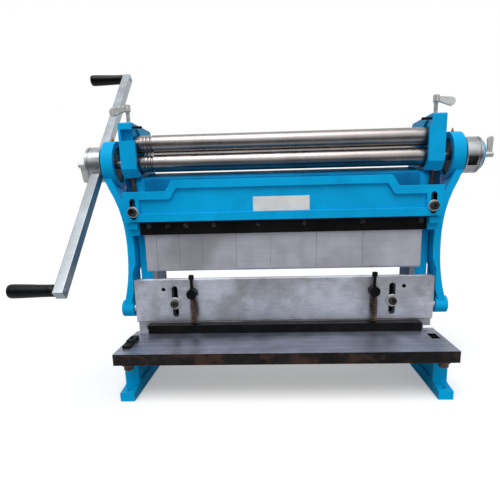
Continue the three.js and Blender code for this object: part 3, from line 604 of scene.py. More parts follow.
@dataclass(frozen=True)
class Finish:
    """A surface: its two tones, its gloss, the marks of how it was made, its wear and its dark
    patches, which are oil and painted shadow.

    grain_run stretches the grain: a small number along one axis draws lines that way.
    """

    name: str
    slot: str
    dark: Colour
    light: Colour
    metallic: float = 0.0
    rough_low: float = 0.3
    rough_high: float = 0.45
    specular: float = 0.5
    mottle_scale: float = 9.0
    grain_run: tuple[float, float, float] = (1.0, 1.0, 1.0)
    grain_scale: float = 300.0
    grain_tone: float = 0.0
    grain_depth: float = 0.0
    lumps: float = 60.0
    peel: float = 420.0
    skin_depth: float = 0.0
    stain: Colour = (0.02, 0.015, 0.012)
    stain_scale: float = 5.0
    stain_amount: float = 0.0
    worn: Colour = (0.5, 0.5, 0.5)
    wear_amount: float = 0.0
    wear_radius: float = 0.0015
    wear_scale: float = 90.0
    # the tone of the dark patches: oil, and painted shadows
    oil: Colour = (0.035, 0.028, 0.024)
    oil_patches: tuple[tuple[float, float, float, float], ...] = ()  # X, Z, half width, half height

    @staticmethod
    def place(
        bench: NodeBench, tree: Tree, vector: object, **values: float
    ) -> Node:
        """Adds a shared effect with a finish's own values.

        Args:
            bench: where it goes.
            tree: the effect.
            vector: the socket that its pattern reads.
            **values: its number inputs.

        Returns:
            The group's node.
        """
        node = bench.add("Group", node_tree=tree)
        bench.wire(vector, node.inputs["Vector"])
        for key, value in values.items():
            node.inputs[key].default_value = value
        return node

    def material(self) -> bpy.types.Material:
        """Builds the material once, and finds it again for the next piece."""
        if self.name in bpy.data.materials:
            return bpy.data.materials[self.name]
        made = bpy.data.materials.new(self.name)
        made.use_nodes = True
        bench = NodeBench(made.node_tree)
        surface = bench.add("BsdfPrincipled")
        bench.wire(surface.outputs["BSDF"], bench.add("OutputMaterial").inputs["Surface"])
        place = bench.add("TexCoord").outputs["Object"]
        stretch = bench.add("Mapping")
        stretch.inputs["Scale"].default_value = self.grain_run
        bench.wire(place, stretch.inputs["Vector"])
        clouds = self.place(bench, mottle(), place, Scale=self.mottle_scale).outputs["Mask"]
        lines = self.place(bench, grain(), stretch.outputs["Vector"], Scale=self.grain_scale)
        colour = bench.blend(clouds, self.dark, self.light)
        if self.grain_tone:
            tone = self.grain_tone
            shade = bench.spread(lines.outputs["Tone"], 0.0, 1.0, 1.0 - tone, 1.0 + tone)
            colour = bench.blend(1.0, colour, shade, "MULTIPLY")
        if self.stain_amount:
            cloud = self.place(bench, mottle(), place, Scale=self.stain_scale).outputs["Mask"]
            spots = bench.spread(cloud, 0.45, 1.0, 0.0, self.stain_amount)
            colour = bench.blend(spots, colour, self.stain)
        gloss = bench.spread(clouds, 0.0, 1.0, self.rough_low, self.rough_high)
        # dark patches at given places: oil, and painted shadows of things in front of the face
        for x, z, wide, tall in self.oil_patches:
            patch = self.place(bench, oil_patch(), place, X=x, Z=z, Wide=wide, Tall=tall)
            colour = bench.blend(patch.outputs["Mask"], colour, self.oil)
        if self.wear_amount:
            wear = self.place(
                bench, edge_wear(), place,
                Radius=self.wear_radius, Scale=self.wear_scale, Amount=self.wear_amount,
            )
            colour = bench.blend(wear.outputs["Mask"], colour, self.worn)
        bench.wire(colour, surface.inputs["Base Color"])
        bench.wire(gloss, surface.inputs["Roughness"])
        surface.inputs["Metallic"].default_value = self.metallic
        surface.inputs["Specular IOR Level"].default_value = self.specular
        self.relief(bench, surface, lines.outputs["Height"], place)
        return made

    def relief(
        self, bench: NodeBench, surface: Node, lines: object, place: object
    ) -> None:
        """Raises the grain and the casting's skin as bumps.

        Args:
            bench: the material's nodes.
            surface: its shader.
            lines: the height of the grain.
            place: the socket that patterns read.
        """
        normal = None
        cast = self.place(bench, skin(), place, Lumps=self.lumps, Peel=self.peel)
        layers = ((cast.outputs["Height"], self.skin_depth), (lines, self.grain_depth))
        for height, depth in layers:
            if not depth:
                continue
            bump = bench.add("Bump")
            bump.inputs["Strength"].default_value = 1.0
            bump.inputs["Distance"].default_value = depth
            bench.wire(height, bump.inputs["Height"])
            if normal is not None:
                bench.wire(normal, bump.inputs["Normal"])
            normal = bump.outputs["Normal"]
        if normal is not None:
            bench.wire(normal, surface.inputs["Normal"])


LENGTHWISE = (0.015, 1.0, 1.0)  # lines along X
AROUND = (1.0, 0.01, 0.01)  # rings round X

BLUE_PAINT = Finish(
    "blue_enamel", "blue_paint", srgb(0, 156, 212), srgb(0, 169, 227),
    rough_low=0.36, rough_high=0.48, specular=0.07, mottle_scale=5.0,
    lumps=55.0, peel=380.0, skin_depth=0.0003,
    stain=srgb(0, 118, 176), stain_scale=6.0, stain_amount=0.15,
    worn=srgb(60, 178, 224), wear_amount=0.3,
)
# blue paint darkened as painted shade for the upper beam under the rolls; its darker clouds are
# painted shade too
SHADED_PAINT = replace(
    BLUE_PAINT, name="oiled_enamel", dark=srgb(0, 112, 166), light=srgb(0, 132, 188),
    stain=srgb(0, 84, 130), stain_amount=0.4,
)
# dark blue as painted shade: the columns' inner faces behind the guide strips and the lug under
# each housing
DEEP_SHADE_PAINT = replace(
    BLUE_PAINT, name="greasy_enamel", dark=srgb(0, 60, 104), light=srgb(0, 84, 136),
    stain=srgb(8, 34, 56), stain_amount=0.5,
)
FINGER_STEEL = Finish(
    "finger_steel", "ground_steel", srgb(190, 191, 200), srgb(202, 204, 214),
    metallic=0.8, rough_low=0.36, rough_high=0.44, mottle_scale=7.0,
    grain_run=LENGTHWISE, grain_scale=420.0, grain_tone=0.04, grain_depth=0.00002,
    stain=srgb(168, 164, 166), stain_amount=0.3, worn=srgb(226, 228, 232), wear_amount=0.5,
)
RAM_STEEL = Finish(
    "ram_steel", "ground_steel", srgb(178, 180, 189), srgb(210, 214, 226),
    metallic=0.8, rough_low=0.36, rough_high=0.46, mottle_scale=6.0,
    grain_run=(0.2, 1.0, 1.0), grain_scale=260.0, grain_tone=0.07, grain_depth=0.00002,
    stain=srgb(138, 132, 132), stain_scale=9.0, stain_amount=0.4,
    worn=srgb(224, 226, 231), wear_amount=0.5,
)
BLADE_STEEL = Finish(
    "blade_steel", "ground_steel", srgb(140, 139, 145), srgb(178, 179, 187),
    metallic=0.8, rough_low=0.3, rough_high=0.42, mottle_scale=9.0,
    grain_run=LENGTHWISE, grain_scale=520.0, grain_tone=0.08, grain_depth=0.00002,
    stain=srgb(120, 112, 110), stain_amount=0.35, worn=srgb(226, 227, 230), wear_amount=0.6,
)
ROLL_STEEL = Finish(
    "roll_steel", "polished_steel", srgb(134, 129, 128), srgb(150, 145, 144),
    metallic=1.0, rough_low=0.27, rough_high=0.33, mottle_scale=10.0,
    grain_run=AROUND, grain_scale=700.0, grain_tone=0.06, grain_depth=0.000006,
    stain=srgb(118, 110, 106), stain_scale=5.0, stain_amount=0.25,
    worn=srgb(200, 199, 198), wear_amount=0.3,
)
HUB_STEEL = Finish(
    "hub_steel", "machined_metal", srgb(140, 144, 148), srgb(172, 177, 181),
    metallic=0.95, rough_low=0.24, rough_high=0.34, mottle_scale=14.0,
    grain_run=AROUND, grain_scale=900.0, grain_tone=0.16, grain_depth=0.00003,
    stain=srgb(132, 128, 124), stain_amount=0.3, worn=srgb(226, 228, 230), wear_amount=0.5,
)
BAR_STEEL = Finish(
    "bar_steel", "zinc", srgb(146, 153, 158), srgb(162, 170, 175),
    metallic=0.9, rough_low=0.3, rough_high=0.38, mottle_scale=9.0,
    grain_scale=260.0, grain_tone=0.03, grain_depth=0.00001,
    stain=srgb(128, 131, 133), stain_amount=0.25, worn=srgb(214, 219, 222), wear_amount=0.4,
)
ZINC = Finish(
    "zinc_plate", "zinc", srgb(174, 176, 175), srgb(202, 204, 202),
    metallic=0.7, rough_low=0.36, rough_high=0.48, mottle_scale=30.0,
    grain_scale=300.0, grain_tone=0.06, grain_depth=0.00001,
    stain=srgb(164, 160, 152), stain_amount=0.25, worn=srgb(232, 233, 233), wear_amount=0.4,
)
BLACK_OXIDE = Finish(
    "oxide_black", "black_oxide", srgb(10, 10, 11), srgb(22, 21, 22),
    metallic=0.1, rough_low=0.42, rough_high=0.56, specular=0.1, mottle_scale=14.0,
    grain_run=LENGTHWISE, grain_scale=420.0, grain_tone=0.12, grain_depth=0.00003,
    stain=srgb(30, 27, 26), stain_amount=0.3, worn=srgb(84, 82, 84), wear_amount=0.4,
)
SCREW_BLACK = Finish(
    "screw_black", "black_oxide", srgb(26, 24, 25), srgb(42, 39, 39),
    metallic=0.4, rough_low=0.34, rough_high=0.46, specular=0.3, mottle_scale=60.0,
    grain_scale=600.0, grain_tone=0.1, grain_depth=0.00001,
    stain=srgb(74, 64, 56), stain_scale=60.0, stain_amount=0.3,
    # light rims along the edges: partly rubbed edges, partly a painted rim highlight
    worn=srgb(190, 188, 188), wear_amount=0.9, wear_radius=0.0009,
)
# near black as painted shade: in the table's pocket, on the walls of the apron's slots and on the
# plugs in the ram's blind holes
SHADE_BLACK = Finish(
    "deep_black", "black_oxide", srgb(4, 4, 4), srgb(11, 10, 10),
    rough_low=0.6, rough_high=0.75, specular=0.03, mottle_scale=40.0,
    grain_scale=300.0, grain_tone=0.1, grain_depth=0.00002,
    stain=srgb(16, 13, 12), stain_scale=30.0, stain_amount=0.4,
)
CAST_IRON = Finish(
    "dark_casting", "cast_iron", srgb(20, 18, 18), srgb(38, 35, 34),
    metallic=0.1, rough_low=0.5, rough_high=0.68, specular=0.1, mottle_scale=14.0,
    lumps=110.0, peel=600.0, skin_depth=0.0005, grain_scale=160.0, grain_tone=0.15,
    stain=srgb(74, 54, 44), stain_scale=11.0, stain_amount=0.6,
    worn=srgb(104, 100, 98), wear_amount=0.6,
)
OILED_IRON = Finish(
    "oiled_iron", "machined_metal", srgb(26, 22, 21), srgb(50, 41, 36),
    metallic=0.5, rough_low=0.3, rough_high=0.45, specular=0.2, mottle_scale=30.0,
    grain_run=AROUND, grain_scale=500.0, grain_tone=0.1, grain_depth=0.00002,
    stain=srgb(16, 13, 12), stain_scale=20.0, stain_amount=0.5,
    worn=srgb(110, 100, 94), wear_amount=0.5,
)
# near black as painted shade on the back plate's front, behind the ram
BACK_PLATE_SHADE = Finish(
    "greased_plate", "blue_paint", srgb(6, 7, 9), srgb(16, 19, 24),
    rough_low=0.5, rough_high=0.65, specular=0.08, mottle_scale=12.0,
    lumps=80.0, peel=500.0, skin_depth=0.0003, stain=srgb(24, 21, 19), stain_amount=0.3,
)
TABLE_TOP = Finish(
    "table_top", "machined_metal", srgb(112, 117, 132), srgb(148, 154, 170),
    metallic=0.8, rough_low=0.32, rough_high=0.42, mottle_scale=5.0,
    grain_run=(0.012, 1.0, 1.0), grain_scale=150.0, grain_tone=0.22, grain_depth=0.00003,
    stain=srgb(82, 84, 93), stain_scale=4.0, stain_amount=0.4,
    worn=srgb(206, 208, 214), wear_amount=0.6,
)
# machined grey of the guide strip, toned darker as painted shade for the column's shadowed inner
# face
GUIDE_FACE = Finish(
    "guide_face", "machined_metal", srgb(96, 104, 112), srgb(128, 136, 144),
    metallic=0.6, rough_low=0.4, rough_high=0.52, specular=0.2, mottle_scale=10.0,
    grain_run=(1.0, 1.0, 0.02), grain_scale=360.0, grain_tone=0.12, grain_depth=0.00003,
    stain=srgb(100, 98, 96), stain_amount=0.35,
)
BLACK_PLASTIC = Finish(
    "moulded_black", "black_plastic", srgb(6, 7, 9), srgb(12, 14, 17),
    rough_low=0.2, rough_high=0.3, specular=0.16, mottle_scale=30.0, lumps=150.0, peel=1400.0,
    skin_depth=0.00005, stain=srgb(20, 21, 24), stain_scale=20.0, stain_amount=0.2,
    worn=srgb(44, 45, 49), wear_amount=0.3,
)
BRASS = Finish(
    "turned_brass", "brass", srgb(150, 108, 60), srgb(196, 152, 92),
    metallic=1.0, rough_low=0.22, rough_high=0.36, mottle_scale=60.0,
    grain_run=(0.05, 0.05, 1.0), grain_scale=900.0, grain_tone=0.1, grain_depth=0.00001,
    stain=srgb(86, 58, 34), stain_scale=50.0, stain_amount=0.3,
)
BROWN_STEEL = Finish(
    "browned_steel", "brown_steel", srgb(34, 27, 25), srgb(88, 66, 55),
    metallic=0.6, rough_low=0.32, rough_high=0.5, mottle_scale=70.0,
    grain_scale=400.0, grain_tone=0.15, grain_depth=0.00004,
    lumps=200.0, peel=900.0, skin_depth=0.0002,
    stain=srgb(22, 18, 17), stain_scale=40.0, stain_amount=0.6,
    worn=srgb(176, 152, 138), wear_amount=0.7,
)
SPRING_STEEL = Finish(
    "spring_steel", "zinc", srgb(78, 62, 52), srgb(140, 114, 96),
    metallic=0.85, rough_low=0.28, rough_high=0.42, mottle_scale=60.0,
    grain_scale=600.0, grain_tone=0.12, grain_depth=0.00001,
    stain=srgb(42, 34, 30), stain_scale=40.0, stain_amount=0.4,
)
BARE_PLATE = Finish(
    "bare_plate", "machined_metal", srgb(212, 213, 213), srgb(224, 225, 225),
    metallic=0.1, rough_low=0.36, rough_high=0.42, specular=0.3, mottle_scale=14.0,
    grain_run=(0.02, 1.0, 1.0), grain_scale=700.0, grain_tone=0.03, grain_depth=0.000006,
    stain=srgb(198, 198, 196), stain_scale=20.0, stain_amount=0.2,
)


def fit(piece: Piece, body: str, finish: Finish, replaces: Iterable[str] = ()) -> Piece:
    """Gives a finished piece its body, its finish and the solids that it stands for.

    Args:
        piece: the piece, in place.
        body: the body that it moves with.
        finish: its surface.
        replaces: names of solids that it takes the place of.

    Returns:
        The same piece.
    """
    if not piece.data.materials:
        piece.data.materials.append(finish.material())
    else:
        piece.data.materials[0] = finish.material()
    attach(piece, body)
    nodes = list(replaces)
    if nodes:
        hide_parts(*nodes)
    LOG.info("%s: %d faces, on %s", piece.name, len(piece.data.polygons), body)
    return piece


def second_finish(piece: Piece, finish: Finish, faces: Sequence[int]) -> None:
    """Gives some faces of a piece another finish.

    Args:
        piece: a piece that already has its main finish.
        finish: the other finish.
        faces: the faces' numbers.
    """
    piece.data.materials.append(finish.material())
    for index in faces:
        piece.data.polygons[index].material_index = len(piece.data.materials) - 1


def dress(
    node: str, name: str, body: str, finish: Finish, rounding: float, segments: int = 3
) -> Piece:
    """Stands a rounded copy of one solid in that solid's place.

    Args:
        node: the solid's name.
        name: the new piece's name.
        body: the body that it moves with.
        finish: its surface.
        rounding: the radius of its edges.
        segments: steps round each edge.

    Returns:
        The new piece.
    """
    return fit(refined(node, name, rounding, segments), body, finish, [node])


def washer(
    name: str, axis: Axis, seat: Vector, radius: float, thick: float, rim: float, sides: int = 48
) -> Piece:
    """A washer's disc, which runs from its seat against the axis.

    Args:
        name: its name.
        axis: the way its screw runs.
        seat: the middle of its seat.
        radius: its radius.
        thick: its thickness.
        rim: the chamfer of both rims.
        sides: facets round it.

    Returns:
        The disc.
    """
    profile = [(0, radius - rim), (-rim, radius), (rim - thick, radius), (-thick, radius - rim)]
    return turned(name, axis, seat, profile, sides)


def socket_screw(
    name: str, axis: Axis, origin: Vector, head: float, tall: float, out: float
) -> Piece:
    """A socket head screw's head with a chamfered rim and a hexagonal socket.

    Args:
        name: its name.
        axis: the way the screw runs.
        origin: the middle of the head's seat.
        head: the head's radius.
        tall: the head's height.
        out: 1 or -1, the way that the head points along the axis.

    Returns:
        The head.
    """
    rim = 0.12 * head
    profile = [(0.0, head), (out * (tall - rim), head), (out * tall, head - rim)]
    piece = turned(name, axis, origin, profile)
    reach = out * tall
    half = 0.52 * head
    cut = [(0.45 * reach, half), (1.2 * reach, half)]
    return carved(piece, turned(name + "_socket", axis, origin, cut, 6))


@dataclass(frozen=True)
class FrontScrew:
    """A black socket screw with a bright washer, on a plate that faces the front."""

    node: str  # the solid's name, after its side
    label: str  # of its pieces, after their side
    plate: str  # the solid that it sits on
    head: float
    stud: float
    thick: float  # of the washer
    rim: float
    washer: float = 0.0  # the washer's radius, or 0 for the solid's
    sides: int = 48
    sunk: float = 0.001  # where the stud starts, inside the washer

    def build(self, side: Side) -> None:
        """Seats the washer, then the head and its stud."""
        node = f"{side.label}_{self.node}"
        name = f"{side.label}_{self.label}"
        low, high, middle = box_of(node)
        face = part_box(self.plate)[0].y - SEAT_GAP
        seat = Vector((middle.x, face, middle.z))
        radius = self.washer or (high.x - low.x) / 2
        ring = washer(name + "_washer", Axis.Y, seat, radius, self.thick, self.rim, self.sides)
        fit(ring, "frame", ZINC)
        head_seat = seat + Vector((0, -self.thick, 0))
        tall = head_seat.y - low.y
        head = socket_screw(name + "_screw", Axis.Y, head_seat, self.head, tall, -1.0)
        run = [(-self.sunk, self.stud), (high.y - face, self.stud)]
        shank = turned(name + "_stud", Axis.Y, seat, run, 32)
        fit(joined(name + "_fastener", [head, shank]), "frame", SCREW_BLACK, [node])


def tab(
    name: str, root: Vector, tip: Vector, root_half: float, tip_half: float, thick: float
) -> Piece:
    """A flat tab, square to Y, that widens from its root to a round tip.

    Args:
        name: its name.
        root: the middle of its root.
        tip: the middle of its round tip.
        root_half: half its width at the root.
        tip_half: the tip's radius.
        thick: its thickness.

    Returns:
        The tab, with rounded edges.
    """
    ends = [
        turned(f"{name}_{index}", Axis.Y, place, [(-thick / 2, half), (thick / 2, half)], 64)
        for index, (place, half) in enumerate(((root, root_half), (tip, tip_half)))
    ]
    piece = joined(name, ends)
    with editing(piece):
        bpy.ops.mesh.convex_hull()
        bpy.ops.mesh.select_all(action="SELECT")
        bpy.ops.mesh.dissolve_limited(angle_limit=FLAT)
        bpy.ops.mesh.normals_make_consistent(inside=False)
    return soften(piece, 0.0011)


@dataclass
class SideFrames:
    """The two castings that carry everything: foot, leg, column and the apron's nose."""

    rounding: float = 0.0016
    guide_depth: float = 0.0357  # of the machined strip behind the column's front edge
    lug_reach: float = 0.022  # of the lug behind the adjusting screw from the screw's axis
    lug_root: float = 0.001
    lug_gap: float = 0.0032  # from the screw's foot to the lug
    lug_thick: float = 0.008
    lug_tall: float = 0.035
    lug_seat: float = 0.0004  # from the lug's top to the housing's seat
    near: float = 0.001  # how far a face's middle may lie from the column's inner face

    def lug(self, side: Side) -> Piece:
        """Builds the small lug behind the adjusting screw, under the roll housing."""
        screw = box_of(f"{side.label}_adjusting_screw")
        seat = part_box(f"{side.label}_side_frame")[1].z
        near = screw[2].x + side.value * self.lug_root
        far = screw[2].x + side.value * self.lug_reach
        front = screw[1].y + self.lug_gap
        low = Vector((min(near, far), front, seat - self.lug_tall))
        high = Vector((max(near, far), front + self.lug_thick, seat - self.lug_seat))
        return soften(block(f"{side.label}_lug", (low + high) / 2, high - low), self.rounding)

    def build(self, side: Side) -> None:
        """Builds one casting with its machined guide strip."""
        node = f"{side.label}_side_frame"
        piece = refined(node, f"{side.label}_casting", self.rounding)
        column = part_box("back_plate")
        face = column[0].x if side is Side.LEFT else column[1].x
        front = column[0].y
        with editing(piece):
            bpy.ops.mesh.bisect(plane_co=(0, front + self.guide_depth, 0), plane_no=(0, 1, 0))
        fit(piece, "frame", BLUE_PAINT, [node])
        back = front + self.guide_depth
        inner = choose(
            piece,
            lambda middle, normal: normal.x * side.value < -0.9
            and abs(middle.x - face) < self.near,
        )
        depth = {index: piece.data.polygons[index].center.y for index in inner}
        second_finish(piece, GUIDE_FACE, [i for i in inner if front < depth[i] < back])
        # the lug and the inner faces behind the guide strip take dark blue as painted shade
        fit(self.lug(side), "frame", DEEP_SHADE_PAINT)
        second_finish(piece, DEEP_SHADE_PAINT, [i for i in inner if depth[i] >= back])


@dataclass
class Table:
    """The cast table, its blade, its stop and the two bolts under it."""

    rounding: float = 0.0009
    blade_rounding: float = 0.0003
    stop_rounding: float = 0.0006
    washer_thick: float = 0.003
    washer_rim: float = 0.0006
    bolt_head: float = 0.0098
    pocket_deep: float = 0.016
    screw_drop: float = 0.0007  # the screw in the pocket ends at least this far below the top
    inside: float = 0.005  # of the table's outline, where only pockets lie below the top

    def build(self) -> None:
        """Builds the table with a ground top, and the pieces on it."""
        low, high, _ = box_of("table")
        blade_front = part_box("lower_blade")[0].y
        table = dress("table", "bed", "frame", CAST_IRON, self.rounding, 2)
        top = choose(table, lambda middle, normal: normal.z > 0.6 and middle.z > low.z + 0.01)
        ends = choose(
            table, lambda middle, normal: abs(normal.x) > 0.6 and abs(middle.x) > high.x - 0.03
        )
        pocket = choose(
            table,
            lambda middle, normal: high.z - self.pocket_deep < middle.z < high.z - self.screw_drop
            and low.x + self.inside < middle.x < high.x - self.inside
            and low.y + self.inside < middle.y < blade_front - self.inside
            and normal.z > -0.2,
        )
        second_finish(table, TABLE_TOP, [face for face in top + ends if face not in pocket])
        # the pocket's faces take near black as painted shade
        second_finish(table, SHADE_BLACK, pocket)
        dress("lower_blade", "bed_blade", "frame", BLADE_STEEL, self.blade_rounding, 2)
        dress("side_stop", "stop_block", "frame", BLACK_OXIDE, self.stop_rounding, 2)
        for side in Side:
            self.bolt(side)

    def bolt(self, side: Side) -> None:
        """Hangs a washer and a hexagon head under the table."""
        node = f"{side.label}_table_bolt"
        low, high, middle = box_of(node)
        seat = Vector((middle.x, middle.y, high.z))
        radius = (high.x - low.x) / 2
        tall = high.z - low.z
        thick = self.washer_thick
        name = f"{side.label}_bed"
        disc = washer(name + "_washer", Axis.Z, seat, radius, thick, self.washer_rim)
        wide = self.bolt_head
        head = turned(
            name + "_bolt", Axis.Z, seat,
            [(-thick + 0.0004, wide), (-tall + 0.0012, wide), (-tall, wide - 0.0016)], 6,
        )
        shank = turned(
            name + "_stud", Axis.Z, seat, [(-tall + 0.001, 0.0056), (-tall, 0.005)], 24
        )
        fit(joined(name + "_fastener", [disc, head, shank]), "frame", BROWN_STEEL, [node])


@dataclass
class Beams:
    """The upper beam and the back plate between the columns."""

    rounding: float = 0.0018

    def build(self) -> None:
        """Builds both castings."""
        # the upper beam takes the darker blue: painted shade from the rolls above it
        dress("upper_beam", "cross_beam", "frame", SHADED_PAINT, self.rounding)
        plate = dress("back_plate", "cross_plate", "frame", BLUE_PAINT, self.rounding)
        # the back plate's front faces take near black: painted shade behind the ram
        second_finish(plate, BACK_PLATE_SHADE, choose(plate, lambda middle, normal: normal.y < -0.9))


@dataclass
class FoldingFingers:
    """Eight fingers of different widths, and the bar that clamps them."""

    count: int = 8
    rounding: float = 0.0004
    bar_rounding: float = 0.0007
    screw_places: tuple[float, ...] = (-0.288, -0.247, -0.207, -0.147, -0.050, 0.049, 0.172, 0.296)
    screw_drop: float = 0.0065  # below the bar's top
    screw_stand: float = 0.0032
    screw_radius: float = 0.0054

    def screws(self) -> None:
        """Sets the socket screws along the bar, each a copy of the first."""
        low, high, middle = box_of("finger_clamp_bar")
        face = Vector((middle.x, low.y + 0.003, high.z - self.screw_drop))
        first = socket_screw("clamp_screw", Axis.Y, face, self.screw_radius, self.screw_stand, -1.0)
        heads = [first]
        for place in self.screw_places[1:]:
            head = placed(f"clamp_screw_{len(heads)}", first.data.copy())
            head.location.x = place
            heads.append(head)
        first.location.x = self.screw_places[0]
        for head in heads:
            settle(head, head.name)
        fit(joined("clamp_screws", heads), "frame", SCREW_BLACK)

    def build(self) -> None:
        """Builds the fingers and their bar."""
        for number in range(1, self.count + 1):
            name = f"finger_{number}"
            dress(name, f"fold_{name}", "frame", FINGER_STEEL, self.rounding, 2)
        dress("finger_clamp_bar", "clamp_bar", "frame", BLACK_OXIDE, self.bar_rounding, 2)
        self.screws()


@dataclass
class Apron:
    """The bordered plate across the front, its two bolts and the bare plate on it."""

    rounding: float = 0.0016
    slot_half: float = 0.0085
    slot_half_tall: float = 0.024
    bolt: FrontScrew = FrontScrew("apron_bolt", "apron", "apron", 0.0088, 0.005, 0.0024, 0.0006)

    def build(self) -> None:
        """Builds the plate and what is fixed to it."""
        plate = dress("apron", "front_apron", "frame", BLUE_PAINT, self.rounding)
        bolts = [box_of(f"{side.label}_apron_bolt")[2] for side in Side]
        walls = choose(
            plate,
            lambda middle, normal: abs(normal.y) < 0.3
            and any(
                abs(middle.x - bolt.x) < self.slot_half
                and abs(middle.z - bolt.z) < self.slot_half_tall
                for bolt in bolts
            ),
        )
        # the slot walls take near black as painted shade
        second_finish(plate, SHADE_BLACK, walls)
        dress("blank_plate", "bare_plate", "frame", BARE_PLATE, 0.0002, 2)
        for side in Side:
            self.bolt.build(side)


@dataclass
class RollHousings:
    """The two housings of the rolls with their levers, pins and adjusting screws."""

    rounding: float = 0.0016
    stem: float = 0.0043
    knuckle: float = 0.0066
    knuckle_tall: float = 0.014
    tab_reach: float = 0.031
    tab_droop: float = 12.0
    tab_root: float = 0.0045
    tab_tip: float = 0.009
    tab_thick: float = 0.006
    thread: float = 0.0043
    thread_depth: float = 0.0007
    thread_pitch: float = 0.002
    foot: float = 0.007
    foot_half: float = 0.0055
    pin_rim: float = 0.0009

    def build(self, side: Side) -> None:
        """Builds one housing and its small parts."""
        name = f"{side.label}_housing"
        dress(f"{side.label}_roll_housing", name, "frame", BLUE_PAINT, self.rounding)
        self.lock_lever(side)
        self.latch_pin(side)
        self.adjusting_screw(side)

    def lock_lever(self, side: Side) -> None:
        """Builds a stem with a knuckle and a drooping tab that points outwards."""
        node = f"{side.label}_lock_lever"
        low, high, middle = box_of(node)
        axis_x = frame_joint(f"{side.label}_lock_lever_turn").x
        centre = Vector((axis_x, middle.y, low.z))
        tall = high.z - low.z
        seat = tall - self.knuckle_tall
        stem = turned(
            f"{side.label}_lock_stem", Axis.Z, centre,
            [
                (0, self.stem - 0.0006), (0.0006, self.stem), (seat - 0.004, self.stem),
                (seat, self.stem + 0.001), (seat, self.knuckle - 0.0008),
                (seat + 0.0008, self.knuckle),
                (tall - 0.0012, self.knuckle), (tall, self.knuckle - 0.0014),
            ],
        )
        root = Vector((axis_x, middle.y, low.z + seat + self.knuckle_tall / 2))
        droop = math.radians(self.tab_droop)
        reach = Vector((side.value * math.cos(droop), 0, -math.sin(droop))) * self.tab_reach
        name = f"{side.label}_lock_tab"
        flat = tab(name, root, root + reach, self.tab_root, self.tab_tip, self.tab_thick)
        fit(joined(f"{side.label}_lock_handle", [stem, flat]), node, ZINC, [node])

    def latch_pin(self, side: Side) -> None:
        """Builds the round pin that the upper roll's bearing latches on."""
        node = f"{side.label}_latch_pin"
        low, high, middle = box_of(node)
        radius = (high.z - low.z) / 2
        length = high.x - low.x
        rim = self.pin_rim
        pin = turned(
            f"{side.label}_latch", Axis.X, Vector((low.x, middle.y, middle.z)),
            [(0, radius - rim), (rim, radius), (length - rim, radius), (length, radius - rim)], 32,
        )
        fit(pin, node, BLACK_OXIDE, [node])

    def adjusting_screw(self, side: Side) -> None:
        """Builds a threaded screw with a hexagon at its foot."""
        node = f"{side.label}_adjusting_screw"
        low, high, middle = box_of(node)
        origin = Vector((middle.x, middle.y, low.z))
        tall = high.z - low.z
        foot, crest = self.foot, self.thread
        root = crest - self.thread_depth
        profile: list[tuple[float, float]] = [(foot, root)]
        turns = int((tall - foot - 0.002) / self.thread_pitch)
        for turn in range(turns):
            start = foot + turn * self.thread_pitch
            for share, radius in ((0.4, crest), (0.6, crest), (1.0, root)):
                profile.append((start + share * self.thread_pitch, radius))
        profile.append((tall, root - 0.0008))
        screw = turned(f"{side.label}_adjuster_thread", Axis.Z, origin, profile, 32)
        hexagon = turned(
            f"{side.label}_adjuster_foot", Axis.Z, origin,
            [(0, self.foot_half - 0.0009), (0.0008, self.foot_half), (foot, self.foot_half)], 6,
        )
        fit(joined(f"{side.label}_adjuster", [screw, hexagon]), node, BROWN_STEEL, [node])


